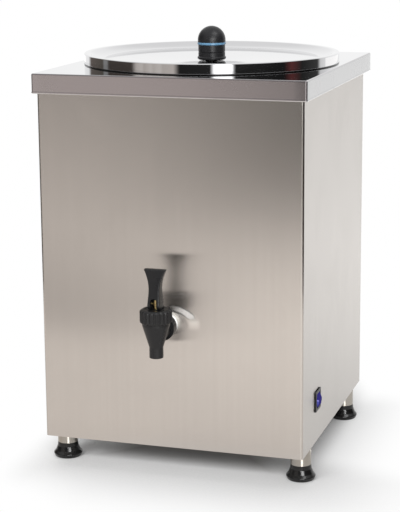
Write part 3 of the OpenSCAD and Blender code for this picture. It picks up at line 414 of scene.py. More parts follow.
paper = bpy.data.materials.new("white_paper")
tree = blank_tree(paper)
place = put(tree, "ShaderNodeTexCoord").outputs["Object"]
plain, stretched = feet_distances(tree, place)
shade = ramp(tree, noise(tree, Vector=place, Scale=FIBRES, Detail=3.0), PAPER)
# painted shade: the paper turns darker under the middle of the casing
shade = blend(tree, step(tree, plain, *PAINTED_SHADE_ZONE), PAINTED_SHADE_PAPER, shade)
matt = put(tree, "ShaderNodeBsdfDiffuse", {"Color": shade})
print("paper turns white round a square of", [2 * half for half in FEET_HALF[:2]])

# %% [markdown]
# ## The sheet as metal sees it
#
# The light falls off some metres in front, where the panel looks, and on the left the sheet is
# greyer to metal. Behind, the sheet is bright, and next to the casing each part of it is darker,
# as painted shade. Cards and flags would give that in a studio; here three ramps along the sheet
# hold what metal finds, and only mirror rays read them. The tall light shows in the sheet too:
# the casing's right front corner sees it as a painted wedge of bright floor.

# %% Sheet in metal
# painted shade: each ramp starts lower next to the casing
FRONT_RIGHT = [  # metres ahead, and the level there
    (0.15, 0.66), (0.30, 0.81), (0.66, 0.99), (0.90, 1.0), (1.03, 0.97), (1.24, 0.85),
    (1.45, 0.66), (1.75, 0.40), (2.04, 0.22), (2.41, 0.13), (3.0, 0.05), (3.6, 0.05),
]
FRONT_LEFT = [  # the same where the sheet is greyer on the left
    (0.15, 0.72), (0.30, 0.83), (0.50, 0.83), (0.65, 0.82), (0.67, 0.52), (0.85, 0.54),
    (1.03, 0.67), (1.20, 0.79), (1.45, 0.79), (2.04, 0.76), (3.0, 0.71), (3.6, 0.70),
]
BEHIND = [  # metres behind, and the level there
    (0.17, 0.83), (0.39, 0.97), (0.60, 1.06), (0.76, 1.11),
    (1.0, 1.21), (1.3, 1.23), (1.95, 1.20), (3.5, 1.16),
]
RIGHT_TINT, LEFT_TINT, BEHIND_TINT = (1.0, 0.935, 0.885), (1.0, 0.93, 0.875), (1.0, 0.992, 0.982)
GREYER_LEFT_EDGE = (-0.14, -0.36)  # x for each metre ahead at which the greyer left begins, and is whole
TURN_Y = (-0.12, 0.0)  # y between which the front turns into the back
GLINT, GLINT_AT, GLINT_EDGE = (1.35, 1.32, 1.26), (19, 31), 4  # colour, and degrees to the right
WHITE_FROM, WHITE_FULL = -0.02, 0.14  # stretched distances at which paper begins to be white, and is


def along(tree, distance, reach, stops, tint):
    """A ramp over (metres, level) stops, tinted."""
    stops = [(metres / reach, scaled(tint, level)) for metres, level in stops]
    return ramp(tree, maths(tree, "DIVIDE", distance, reach), stops)


def wedge(tree, place, apex):
    """A mask that is 1 where a point, seen from apex, lies between the two angles of GLINT_AT."""
    angle = heading(tree, vectors(tree, "SUBTRACT", place, apex))
    first, last = GLINT_AT
    after_first = step(tree, angle, math.radians(first - GLINT_EDGE), math.radians(first))
    before_last = step(tree, angle, math.radians(last + GLINT_EDGE), math.radians(last))
    return times(tree, after_first, before_last)


at = split(tree, place)
ahead = times(tree, at["Y"], -1.0)
greyer_left = step(tree, maths(tree, "DIVIDE", at["X"], ahead), *GREYER_LEFT_EDGE)
front_right = along(tree, ahead, -FLOOR_FRONT, FRONT_RIGHT, RIGHT_TINT)
front_left = along(tree, ahead, -FLOOR_FRONT, FRONT_LEFT, LEFT_TINT)
behind = along(tree, at["Y"], FLOOR_BACK, BEHIND, BEHIND_TINT)
seen = blend(tree, greyer_left, front_right, front_left)
seen = blend(tree, step(tree, at["Y"], *TURN_Y), seen, behind)
(_, wrap_front, _), (wrap_right, _, _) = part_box("casing_wrap")
seen = blend(tree, wedge(tree, place, (wrap_right, wrap_front, 0.0)), seen, GLINT)
from_camera, from_metal = ray_kinds(tree)
white = put(tree, "ShaderNodeEmission", {"Color": blend(tree, from_metal, grey(1.0), seen), "Strength": 1.0})
direct = maths(tree, "MAXIMUM", from_camera, from_metal)
share = times(tree, step(tree, stretched, WHITE_FROM, WHITE_FULL), direct)
mixed = put(tree, "ShaderNodeMixShader", {0: share, 1: matt.outputs[0], 2: white.outputs[0]})
put(tree, "ShaderNodeOutputMaterial", {"Surface": mixed.outputs[0]})
floor.data.materials.append(paper)
print("paper has", len(tree.nodes), "nodes")

# %% [markdown]
# ## Shared effects
#
# Three effects come back in many finishes, so each is a node group that is built once.
# `grain_lines` are the long scratches that a belt leaves in sheet, `handling_marks` the soft
# clouds that hands and cloths leave, and `moulded_skin` the fine eggshell of a plastic tool.
# They put out only values from 0 to 1, and each material decides what to do with them.

# %% Groups
CLOUD_RANGE = (0.35, 0.75)  # noise between which a cloud thickens
FLOW_SHARE = 0.05  # scale of the mottling to that of the eggshell


def new_group(name, control, default, outputs):
    """An empty shader group with a Vector, one float or vector control, float outputs, and two end nodes."""
    group = bpy.data.node_groups.new(name, "ShaderNodeTree")
    group.interface.new_socket("Vector", in_out="INPUT", socket_type="NodeSocketVector")
    kind = "NodeSocketFloat" if isinstance(default, float) else "NodeSocketVector"
    group.interface.new_socket(control, in_out="INPUT", socket_type=kind).default_value = default
    for label in outputs:
        group.interface.new_socket(label, in_out="OUTPUT", socket_type="NodeSocketFloat")
    return group, group.nodes.new("NodeGroupInput").outputs, group.nodes.new("NodeGroupOutput")


grain, ins, end = new_group("grain_lines", "Stretch", (1500.0, 1500.0, 12.0), ["Lines", "Streaks"])
stretched = vectors(grain, "MULTIPLY", ins["Vector"], ins["Stretch"])
lines = noise(grain, Vector=stretched, Scale=1.0, Detail=3.0, Roughness=0.6)
streaks = noise(grain, Vector=stretched, Scale=0.11, Detail=2.0, Roughness=0.55)
feed(grain, end, {"Lines": lines, "Streaks": streaks})

marks, ins, end = new_group("handling_marks", "Scale", 14.0, ["Clouds"])
drift = noise(marks, Vector=ins["Vector"], Scale=ins["Scale"], Detail=5.0, Roughness=0.62, Distortion=0.8)
feed(marks, end, {"Clouds": step(marks, drift, *CLOUD_RANGE)})

skin, ins, end = new_group("moulded_skin", "Scale", 900.0, ["Height", "Mottle"])
cells = {"Vector": ins["Vector"], "Scale": ins["Scale"]}
pebbles = put(skin, "ShaderNodeTexVoronoi", cells, feature="SMOOTH_F1").outputs["Distance"]
flow = noise(skin, Vector=ins["Vector"], Scale=times(skin, ins["Scale"], FLOW_SHARE), Detail=4.0)
feed(skin, end, {"Height": pebbles, "Mottle": flow})
print("groups:", [group.name for group in bpy.data.node_groups])

# %% [markdown]
# ## Metals
#
# Sheet, spun and turned metal differ in where their scratches run and how far they were
# polished, so one function makes them all. The scratches shift the colour and the roughness a
# little and lean the normal by a hair; clouds from handling dull the polish in patches.

# %% Metal function
UPRIGHT = (1500.0, 1500.0, 9.0)  # scratches along Z
CROSSWISE = (9.0, 1500.0, 1500.0)  # scratches along X
TURNED = (60.0, 60.0, 2200.0)  # rings round an upright axis
EVEN = (320.0, 320.0, 320.0)  # no direction, as on tumbled or cast metal
METAL_CLOUDS = 14.0  # clouds to a metre, about
SMUDGE, SMUDGED = 0.35, 0.95  # how much a cloud covers, and the share of colour it leaves
SCRATCH = 0.0004  # metres, the depth that a bump of strength 1 has


def grouped(tree, group, sockets):
    """Places a shared group in a tree and returns its outputs."""
    return put(tree, "ShaderNodeGroup", sockets, node_tree=group).outputs


def finish_of(name):
    """A material with a Principled shader: returns it, its tree, the shader and the place on the piece."""
    material = bpy.data.materials.new(name)
    tree = blank_tree(material)
    shader = put(tree, "ShaderNodeBsdfPrincipled")
    put(tree, "ShaderNodeOutputMaterial", {"Surface": shader.outputs[0]})
    return material, tree, shader, put(tree, "ShaderNodeTexCoord").outputs["Object"]


def metal(name, colour, rough, stretch, spread=0.05, depth=0.02, dulling=0.06, uneven=0.15,
          one_way=0.0, turned=0.0, by_face=None, relief=None):
    """Metal with scratches: colour and roughness follow the lines, and clouds of handling dull it.
    by_face(tree, tone, polish, lines) changes these, and relief(tree, place) gives other normals."""
    material, tree, shader, place = finish_of(name)
    cut = grouped(tree, grain, {"Vector": place, "Stretch": stretch})
    cloud = grouped(tree, marks, {"Vector": place, "Scale": METAL_CLOUDS})["Clouds"]
    tone = blend(tree, cut["Streaks"], scaled(colour, 1 - spread), scaled(colour, 1 + spread))
    tone = blend(tree, times(tree, cloud, SMUDGE), tone, scaled(colour, SMUDGED))
    polish = between(tree, cut["Lines"], rough * (1 - uneven), rough * (1 + uneven))
    polish = maths(tree, "ADD", polish, times(tree, cloud, dulling))
    lines = cut["Lines"]
    if by_face is not None:
        tone, polish, lines = by_face(tree, tone, polish, lines)
    bump = put(tree, "ShaderNodeBump", {"Height": lines, "Strength": depth, "Distance": SCRATCH})
    if relief is not None:
        feed(tree, bump, {"Normal": relief(tree, place)})
    feed(tree, shader, {"Base Color": tone, "Roughness": polish, "Metallic": 1.0, "Anisotropic": one_way,
                        "Anisotropic Rotation": turned, "Normal": bump.outputs[0]})
    return material


# %% [markdown]
# ## Front panel and cover
#
# A bent sheet is never quite flat. The front panel bows out a little, and beside the tap it
# shows a bright arch, as sheet does where it leans. Geometry could do it, but so small a lean
# is easier to set as a normal. The cover is one sheet too: the top is smooth and the skirt
# satin, and its colour is painted by the way each face looks, lighter on the top and the
# undersides as painted light, darker on the sides and the bend between top and skirt as
# painted shade.

# %% Panel normals and cover faces
BOW, HALF_PANEL = 0.003, 0.15  # metres: how far the sheet bows out, over half its width
ARCH_R, LEAN = 0.0295, 0.45  # radius of the arch in metres, and how far normals lean in it
ARCH_ACROSS, ARCH_UP = 0.91, 1.55  # distances from the tap are scaled so, which makes it an oval
ARCH_INNER = (ARCH_R - 0.009, ARCH_R - 0.003)
ARCH_OUTER = (ARCH_R + 0.006, ARCH_R + 0.001)
ARCH_ABOVE, ARCH_BESIDE = (-0.007, 0.005), (-0.004, 0.012)  # only above the tap, and on its right
# the skirt's own tone, and a lighter tone painted on the top and undersides as painted light
COVER_TONE, PAINTED_LIGHT_TONE = (0.535, 0.497, 0.510), (0.75, 0.755, 0.765)
SIDE_SHADE_SHARE, BEND_SHADE_SHARE = 0.645, 0.45  # painted shade: tone of the sides to that of the top, of the bend to the skirt's
TOP_ROUGH = 0.12  # roughness of the top to that of the skirt
IS_TOP, IS_PAINTED_UNDERSIDE, IS_SCRATCHED = (0.92, 0.99), (-0.05, -0.35), (0.6, 0.2)  # by the normal's Z; the top and what looks down get the painted light tone
BEND_FROM, BEND_TO = (0.10, 0.35), (0.98, 0.88)  # likewise, for the bend's painted shade
IS_SIDE, IS_FRONT = (0.5, 0.9), (0.3, 0.1)  # by the size of its X
washer_low, washer_high = np.array(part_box("tap_washer"))
tap_x, _, tap_z = (washer_low + washer_high) / 2


def panel_relief(tree, place):
    """Normals of the front sheet: those of a bow with x squared, plus LEAN away from the tap in an
    oval arch, made length 1 again."""
    at = split(tree, place)
    bow = times(tree, times(tree, at["X"], at["X"]), -BOW / HALF_PANEL ** 2)
    bowed = put(tree, "ShaderNodeBump", {"Height": bow, "Strength": 1.0, "Distance": 1.0}).outputs[0]
    across = maths(tree, "SUBTRACT", at["X"], tap_x)
    above = maths(tree, "SUBTRACT", at["Z"], tap_z)
    apart = length(tree, joined(tree, X=times(tree, across, ARCH_ACROSS), Z=times(tree, above, ARCH_UP)))
    arch = times(tree, step(tree, apart, *ARCH_INNER), step(tree, apart, *ARCH_OUTER))
    upper = times(tree, step(tree, above, *ARCH_ABOVE), maths(tree, "LESS_THAN", at["Y"], 0.0))
    upper = times(tree, upper, step(tree, across, *ARCH_BESIDE))
    lean = times(tree, times(tree, arch, upper), LEAN)
    away = vectors(tree, "NORMALIZE", joined(tree, X=across, Z=above))
    leaning = vectors(tree, "ADD", bowed, vectors(tree, "MULTIPLY", away, lean))
    return vectors(tree, "NORMALIZE", leaning)


def cover_faces(tree, tone, polish, lines):
    """Tone, polish and scratches by the way a face looks: the top is smooth and painted lighter, as
    painted light; the sides and the bend over the front skirt are painted darker, as painted shade;
    and what looks down is painted light again."""
    looks = split(tree, put(tree, "ShaderNodeNewGeometry").outputs["Normal"])
    up, aside = looks["Z"], maths(tree, "ABSOLUTE", looks["X"])
    tone = blend(tree, step(tree, aside, *IS_SIDE), tone, scaled(PAINTED_LIGHT_TONE, SIDE_SHADE_SHARE))
    tone = blend(tree, step(tree, up, *IS_TOP), tone, PAINTED_LIGHT_TONE)
    # painted shade on the bend over the front skirt
    bend = times(tree, step(tree, up, *BEND_FROM), step(tree, up, *BEND_TO))
    bend = times(tree, bend, step(tree, aside, *IS_FRONT))
    tone = blend(tree, bend, tone, scaled(COVER_TONE, BEND_SHADE_SHARE))
    tone = blend(tree, step(tree, up, *IS_PAINTED_UNDERSIDE), tone, PAINTED_LIGHT_TONE)
    polish = times(tree, polish, between(tree, maths(tree, "ABSOLUTE", up), 1.0, TOP_ROUGH))
    return tone, polish, times(tree, lines, step(tree, up, *IS_SCRATCHED))


# %% Metal finishes
METALS = {
    "brushed_panel": dict(colour=(0.676, 0.646, 0.616), rough=0.235, stretch=UPRIGHT, spread=0.025,
                          depth=0.006, dulling=0.008, uneven=0.07, one_way=0.94, relief=panel_relief),
    "satin_cover": dict(colour=COVER_TONE, rough=0.26, stretch=CROSSWISE, spread=0.006, depth=0.002,
                        dulling=0.02, uneven=0.03, one_way=0.85, turned=0.25, by_face=cover_faces),
    "plain_steel": dict(colour=grey(0.56), rough=0.30, stretch=CROSSWISE, depth=0.03),
    "vessel_steel": dict(colour=(0.76, 0.76, 0.77), rough=0.50, stretch=TURNED, spread=0.03, dulling=0.02),
    "polished_lid": dict(colour=(0.76, 0.76, 0.77), rough=0.04, stretch=TURNED, spread=0.01, depth=0.003,
                         dulling=0.01),
    "sleeve_steel": dict(colour=(0.46, 0.43, 0.385), rough=0.16, stretch=TURNED, depth=0.03),
    "screw_steel": dict(colour=(0.60, 0.60, 0.61), rough=0.26, stretch=EVEN, spread=0.06, depth=0.03),
    "brass_stem": dict(colour=(0.72, 0.54, 0.24), rough=0.26, stretch=TURNED, spread=0.06, depth=0.03),
    "bare_aluminium": dict(colour=(0.72, 0.73, 0.74), rough=0.34, stretch=UPRIGHT, depth=0.04),
}
finishes = {name: metal(name, **settings) for name, settings in METALS.items()}
print("metals:", sorted(finishes))

# %% [markdown]
# ## Plastics, rubber and foam
#
# Moulded pieces have one colour through and through, so what tells them apart is the skin:
# how fine its eggshell is, how much it shines and how it varies where the melt flowed.

# %% Moulded finishes
MOULDED_CLOUDS = 40.0  # clouds to a metre, about
EGGSHELL = 0.0003  # metres, the depth that a bump of strength 1 has


def moulded(name, colour, rough, scale, depth=0.08, mottling=0.08, sheen_spread=0.10, gloss=0.5):
    """Plastic or rubber: a fine eggshell leans the normal, and slow clouds vary colour and shine."""
    material, tree, shader, place = finish_of(name)
    cast = grouped(tree, skin, {"Vector": place, "Scale": scale})
    cloud = grouped(tree, marks, {"Vector": place, "Scale": MOULDED_CLOUDS})["Clouds"]
    tone = blend(tree, cast["Mottle"], scaled(colour, 1 - mottling), scaled(colour, 1 + mottling))
    shine = between(tree, cloud, rough * (1 - sheen_spread), rough * (1 + sheen_spread))
    bump = put(tree, "ShaderNodeBump", {"Height": cast["Height"], "Strength": depth, "Distance": EGGSHELL})
    feed(tree, shader, {"Base Color": tone, "Roughness": shine, "Specular IOR Level": gloss,
                        "Normal": bump.outputs[0]})
    return material


MOULDED = {
    "black_tap": dict(colour=(0.009, 0.009, 0.0095), rough=0.30, scale=1400.0, depth=0.05, gloss=0.30),
    "black_knob": dict(colour=(0.009, 0.009, 0.010), rough=0.36, scale=1600.0, depth=0.05, gloss=0.32),
    "black_housing": dict(colour=(0.016, 0.016, 0.017), rough=0.36, scale=1500.0),
    "black_rubber": dict(colour=grey(0.006), rough=0.16, scale=1100.0, depth=0.02, gloss=0.40),
    "pale_silicone": dict(colour=(0.84, 0.83, 0.80), rough=0.42, scale=700.0, depth=0.04, mottling=0.02),
    "blue_ring": dict(colour=(0.085, 0.19, 0.30), rough=0.25, scale=900.0, depth=0.03, mottling=0.06),
    "white_ceramic": dict(colour=(0.88, 0.88, 0.86), rough=0.50, scale=800.0, depth=0.05, mottling=0.02),
    "grey_leads": dict(colour=(0.18, 0.18, 0.19), rough=0.45, scale=900.0),
    "red_leads": dict(colour=(0.50, 0.05, 0.045), rough=0.45, scale=900.0),
    "foam": dict(colour=(0.86, 0.78, 0.56), rough=0.85, scale=420.0, depth=0.5),
    "blue_rocker": dict(colour=(0.012, 0.010, 0.07), rough=0.32, scale=900.0, depth=0.02, mottling=0.1,
                        gloss=0.0),
}
finishes.update({name: moulded(name, **settings) for name, settings in MOULDED.items()})
print("moulded:", sorted(MOULDED))

# %% [markdown]
# ## Lit rocker and pale washer
#
# A lamp inside the switch lights the blue rocker; its emission is brightest in a line across
# the middle of its front edge. The washer of the tap gets a faint emission too, which is painted
# light: it makes the washer look paler than its colour. Both could have a lamp behind them; a
# faint emission is enough and stays on the piece. Every CAD part then takes the finish that the
# record names for it.

# %% Lit rocker and washer
ROCKER_EDGE = [  # share of the rocker's height, and the light of its front edge there
    (0.08, (0.040, 0.038, 0.12)), (0.30, (0.075, 0.080, 0.32)), (0.44, (0.080, 0.090, 0.34)),
    (0.48, (0.05, 0.05, 0.25)), (0.51, (0.32, 0.31, 0.78)), (0.57, (0.30, 0.29, 0.74)),
    (0.62, (0.024, 0.018, 0.19)), (0.95, (0.028, 0.024, 0.12)),
]
ROCKER_FACE, LOOKS_FORWARD = (0.030, 0.025, 0.14), (-0.3, -0.7)  # other faces; Y of the normal
# painted light: a faint glow that makes the washer paler than its colour
WASHER_PAINTED_LIGHT, WASHER_PAINTED_STRENGTH = (0.90, 0.90, 0.88, 1.0), 0.4


def parts_of(finish):
    """The node tree of a finish and its Principled shader."""
    tree = finishes[finish].node_tree
    return tree, next(node for node in tree.nodes if node.type == "BSDF_PRINCIPLED")


tree, shader = parts_of("blue_rocker")
rocker_low, rocker_high = np.array(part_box("switch_rocker"))
rocker_z = split(tree, put(tree, "ShaderNodeTexCoord").outputs["Object"])["Z"]
light = ramp(tree, mapped(tree, rocker_z, rocker_low[2], rocker_high[2]), ROCKER_EDGE)
looks = split(tree, put(tree, "ShaderNodeNewGeometry").outputs["Normal"])
light = blend(tree, step(tree, looks["Y"], *LOOKS_FORWARD), ROCKER_FACE, light)
feed(tree, shader, {"Emission Color": light, "Emission Strength": 1.0})
tree, shader = parts_of("pale_silicone")
# the washer's painted light
feed(tree, shader, {"Emission Color": WASHER_PAINTED_LIGHT, "Emission Strength": WASHER_PAINTED_STRENGTH})

slots = {row["node"]: row["material_slot"] for row in frame["record"]["subparts"]}
for name, part in cad.items():
    part.data.materials.clear()
    part.data.materials.append(finishes[slots[name]])
print(len(finishes), "finishes on", len(cad), "parts")

# %% [markdown]
# ## Helpers for the pieces
#
# Most pieces are one of two kinds. A lathe piece carries a profile round an upright axis, as a
# spun lid or a turned cap is made; a frame piece carries a profile along a rectangle with
# rounded corners, as a bent cover or a bezel is made. Both take a profile whose corners have
# been given a radius, because on shiny parts the radius is what catches the light.

# %% Profiles
MM = 0.001  # profiles are in millimetres, points in metres


def quarter(count):
    """Angles from 0 to a right angle."""
    return np.linspace(0, np.pi / 2, count)


def soften(corners, arc_steps=8):
    """A closed outline through corners (a, b, radius) in mm: a corner becomes an arc from side to side,
    worked out as middle + (sin((1 - t) sweep) first + sin(t sweep) last) / sin(sweep)."""
    spots = np.array([corner[:2] for corner in corners], float)
    parts = []
    for spot, before, after, corner in zip(spots, np.roll(spots, 1, 0), np.roll(spots, -1, 0), corners):
        radius = corner[2]
        if radius == 0:
            parts.append(spot[None])
            continue
        back, on = unit(before - spot), unit(after - spot)
        half = 0.5 * np.arccos(np.clip(back @ on, -1, 1))
        middle = spot + unit(back + on) * radius / np.sin(half)
        first = spot + back * radius / np.tan(half) - middle
        last = spot + on * radius / np.tan(half) - middle
        sweep = np.pi - 2 * half
        share = np.linspace(0, 1, arc_steps)[:, None]
        arc = np.sin((1 - share) * sweep) * first + np.sin(share * sweep) * last
        parts.append(middle + arc / np.sin(sweep))
    return np.concatenate(parts)


def held(outline, gap=0.25):
    """Adds a point at gap (mm) from both ends of every run longer than four gaps, so that flat runs
    stay flat beside their bends."""
    run = np.roll(outline, -1, 0) - outline
    distance = np.linalg.norm(run, axis=1)
    inset = run * (gap / np.maximum(distance, 1e-9))[:, None]
    rows = np.stack([outline, outline + inset, outline + run - inset], 1)
    long = distance > 4 * gap
    return rows[np.column_stack([np.ones(len(outline), bool), long, long])]


# %% Lathes and frames
def lathe(name, outline, axis, columns, ripple=None):
    """Carries an outline of (radius, height) in mm round an upright axis: axis + radius (cos, sin).
    ripple(angle, height, radius) adds to the radius."""
    radius, height = outline[:, :1], outline[:, 1:]
    angle = np.linspace(0, 2 * np.pi, columns, endpoint=False)[None]
    if ripple is not None:
        radius = radius + ripple(angle, height, radius)
    x = axis[0] + radius * MM * np.cos(angle)
    y = axis[1] + radius * MM * np.sin(angle)
    points = np.stack(np.broadcast_arrays(x, y, height * MM), -1)
    return link_mesh(name, points, grid_faces(len(outline), columns, True, True))


def rounded_rectangle(half_a, half_b, radius, arc_steps, side_steps=1):
    """Points and outward directions along a rectangle with rounded corners: four arcs, and after
    each the side that follows it, cut into side_steps."""
    angles = np.arange(4)[:, None] * np.pi / 2 + quarter(arc_steps)[None]
    outward = np.stack([np.cos(angles), np.sin(angles)], -1)
    signs = np.array([[1, 1], [-1, 1], [-1, -1], [1, -1]])[:, None]
    spots = signs * (np.array([half_a, half_b]) - radius) + radius * outward
    ends, starts = spots[:, -1:], np.roll(spots, -1, 0)[:, :1]
    sides = ends + np.linspace(0, 1, side_steps + 1)[None, 1:-1, None] * (starts - ends)
    straight = np.repeat(outward[:, -1:], side_steps - 1, 1)
    path = np.concatenate([spots, sides], 1)
    return path.reshape(-1, 2), np.concatenate([outward, straight], 1).reshape(-1, 2)


def carried(profile, path, outward):
    """Carries a profile of (distance, height) along a path: path + distance outward, and the height."""
    level_points = path[None] + profile[:, :1, None] * outward[None]
    heights = np.broadcast_to(profile[:, 1:, None], (*level_points.shape[:2], 1))
    return level_points, heights


def dress(piece, body, finish, *replaced):
    """Gives a piece its finish and its body, and hides the CAD parts that it stands for."""
    piece.data.materials.append(finishes[finish])
    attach(piece, body)
    if replaced:
        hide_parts(*replaced)
    print(piece.name, len(piece.data.polygons), "faces, rides on", body)


# %% [markdown]
# ## Top cover
#
# The cover is one sheet with a round hole, bent down on all sides into a skirt whose lower edge
# is folded back into a hem. A solid with bevels would do, but the hem's small roll is the
# bright line under the skirt, so the whole section is drawn and carried round the rectangle:
# hole, top, bend, skirt, hem and back again on the inside.

# %% Top cover
low, high = np.array(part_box("top_cover"))
lid_low, lid_high = np.array(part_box("lid_shell"))
cover_middle, cover_half = ((low + high) / 2)[:2], (high - low)[:2] / 2 / MM
cover_top, skirt_end = high[2] / MM, low[2] / MM
lid_axis = ((lid_low + lid_high) / 2)[:2]
MOUTH_R, SHEET, BEND, CORNER = 117.0, 1.5, 1.6, 2.4
HEM, HEM_OUT, HEM_BACK, HEM_TURN = 1.15, 0.35, 0.6, 6.0  # half its roll, how far out and in, its height
INWARD, KEPT = -30, -25  # the section is drawn from here, and kept from there outwards

hem_top = skirt_end + 2 * HEM
inner = -SHEET - HEM_BACK
skirt = held(soften([
    (INWARD, cover_top, 0), (0, cover_top, BEND), (0, hem_top, 0.6), (HEM_OUT, hem_top - HEM_OUT, 0.3),
    (HEM_OUT, skirt_end, 1.0), (inner, skirt_end, 0.9), (inner, skirt_end + HEM_TURN, 0.3),
    (-SHEET, skirt_end + HEM_TURN + HEM_BACK, 0.3), (-SHEET, cover_top - SHEET, 0.4),
    (INWARD, cover_top - SHEET, 0),
]))
skirt = skirt[skirt[:, 0] > KEPT]
path, outward = rounded_rectangle(*cover_half, CORNER, arc_steps=8, side_steps=24)
level_points, heights = carried(skirt, path, outward)
edge = np.concatenate([cover_middle + level_points * MM, heights * MM], -1)
from_axis = path * MM + cover_middle - lid_axis
round_axis = np.arctan2(from_axis[:, 1], from_axis[:, 0])
mouth = lid_axis + MOUTH_R * MM * np.stack([np.cos(round_axis), np.sin(round_axis)], -1)
upper, lower = (np.insert(mouth, 2, z, axis=1)[None] for z in (high[2], high[2] - SHEET * MM))
cover_points = np.concatenate([upper, (upper + edge[:1]) / 2, edge, (lower + edge[-1:]) / 2, lower])
cover = link_mesh("cover_skin", cover_points, grid_faces(len(cover_points), len(path), True, True), 30.0)
dress(cover, "cabinet", "satin_cover", "top_cover")

# %% [markdown]
# ## Lid
#
# The lid is spun from polished sheet: a straight band, a narrow rim, and a shallow dish that
# falls towards the knob in one soft curve. All of it is one profile carried round the axis,
# with the sheet's thickness and the radius of each fold. Points held close to each fold keep
# the band between them straight, because a mirror shows the smallest lean.

# %% Lid
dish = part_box("knob_base")[0][2] / MM
rim_top, band_end = lid_high[2] / MM, lid_low[2] / MM
lid_r = (lid_high[0] - lid_low[0]) / 2 / MM
LID_T, FOLD, EDGE = 1.0, 1.3, 0.4  # thickness of the sheet, radii of the rim's fold and the band's edge
HOLE, FLAT, SLOPE, RIM = 0.5, 18.5, 131, 141  # radii: the middle, the flat, the dish and the rim
SLOPE_UP, NEST = 3.6, 0.3  # how far the dish rises, and how much further out its underside lies
within = lid_r - LID_T
lid_outline = held(soften([
    (HOLE, dish, 0), (FLAT, dish, 3), (SLOPE, dish + SLOPE_UP, 34), (RIM, rim_top, 5),
    (lid_r, rim_top, FOLD), (lid_r, band_end, EDGE), (within, band_end, EDGE), (within, rim_top - LID_T, 0.3),
    (RIM + NEST, rim_top - LID_T, 4), (SLOPE + NEST, dish + SLOPE_UP - LID_T, 35),
    (FLAT, dish - LID_T, 2), (HOLE, dish - LID_T, 0),
], 16))
lid = lathe("lid_skin", lid_outline, lid_axis, columns=256)
dress(lid, "lid", "polished_lid", "lid_shell")

# %% [markdown]
# ## Bonnet of the tap
#
# The bonnet is the ribbed cap that screws onto the tap's barrel. Its ribs could be 24 small
# cylinders; here they are a ripple on the lathe's radius, a raised cosine that fades out at
# the chamfer, which keeps the cap one closed skin with soft valleys as a mould would give it.

# %% Bonnet
low, high = np.array(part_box("tap_bonnet"))
tap_axis = ((low + high) / 2)[:2]
cap_low, cap_top = low[2] / MM, high[2] / MM
RIBS, RIB_H, RIB_STEPS, RIB_SHARP = 24, 1.1, 10, 1.3
FOOT, FOOT_RISE, HEAD, HEAD_FALL = 0.4, 0.6, 1.2, 1.0  # where ribs begin and end, and how far they fade
BORE_R, BORE_DEEP, STEM_R, RING_R = 13.5, 11, 2.75, 4.2  # the barrel's bore, the stem's hole, a sunk ring
cap_r = (high[0] - low[0]) / 2 / MM - RIB_H
wall = np.linspace(cap_low + 0.8, cap_top - 2.2, 12)
cap_outline = np.concatenate([
    [(BORE_R, cap_low), (cap_r - 0.5, cap_low), (cap_r, cap_low + 0.4)],
    np.column_stack([np.full(len(wall), cap_r), wall]),
    [(cap_r - 0.15, cap_top - 1.75), (cap_r - 1.7, cap_top - 0.25), (cap_r - 2.2, cap_top - 0.05)],
    [(cap_r - 2.8, cap_top), (cap_r - 5, cap_top), (cap_r - 5.3, cap_top - 0.2)],
    [(RING_R, cap_top - 0.2), (RING_R - 0.3, cap_top), (STEM_R + 0.25, cap_top), (STEM_R, cap_top - 0.3)],
    [(STEM_R, cap_low + BORE_DEEP), (BORE_R, cap_low + BORE_DEEP)],
])


def ribs(angle, height, radius):
    """Raised cosine round the cap, as high as RIB_H in the middle of its wall and nothing at both ends."""
    rise = np.clip((height - cap_low - FOOT) / FOOT_RISE, 0, 1)
    fall = np.clip((cap_top - HEAD - height) / HEAD_FALL, 0, 1)
    on_wall = rise * fall * (radius > cap_r - 1)
    return RIB_H * on_wall * (0.5 + 0.5 * np.cos(RIBS * angle)) ** RIB_SHARP


bonnet = lathe("bonnet_skin", cap_outline, tap_axis, RIBS * RIB_STEPS, ribs)
dress(bonnet, "cabinet", "black_tap", "tap_bonnet")

# %% [markdown]
# ## Tap lever
#
# The lever is moulded: it flares to a thumb rest at the top, narrows to a neck, and its base
# is slotted for the brass stem. Each level of it is a rectangle with rounded edges and a notch
# in its front, all with the same number of points, so that the levels stack into one grid. The
# notch narrows to nothing in an arch above the stem.

# %% Levels of the lever
low, high = np.array(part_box("tap_handle"))
pin_low, pin_high = np.array(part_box("tap_pin"))
pin_z = (pin_low[2] + pin_high[2]) / 2 / MM
lever_low, lever_top = low[2] / MM, high[2] / MM
NECK_AT = 0.46  # share of the height at which the lever is narrowest
BASE, NECK, TOP = 7.0, 6.0, (high[0] - low[0]) / 2 / MM  # half widths
CAM_R, CAM_AT, HEEL, TOP_T = 5.5, -3.5, 7.0, 3.25  # the cam and its middle; the back; half the top
CREST, TAPER = 1.1, 0.9  # radius of the crest, and the power that bends the tapers
SLOT_W, SLOT_IN, SLOT_ARCH = 3.7, 11.0, pin_z + 3.1  # half width, depth and start of the notch's arch
crest_low = lever_top - CREST
levels = np.unique(np.concatenate([
    lever_low + (crest_low - lever_low) * np.linspace(0, 1, 56), SLOT_ARCH + SLOT_W * np.sin(quarter(9)),
    pin_z - CAM_R * np.cos(quarter(12)), crest_low + CREST * np.sin(quarter(7)),
]))
levels = levels[(levels >= lever_low - 1e-9) & (levels <= lever_top + 1e-9)]


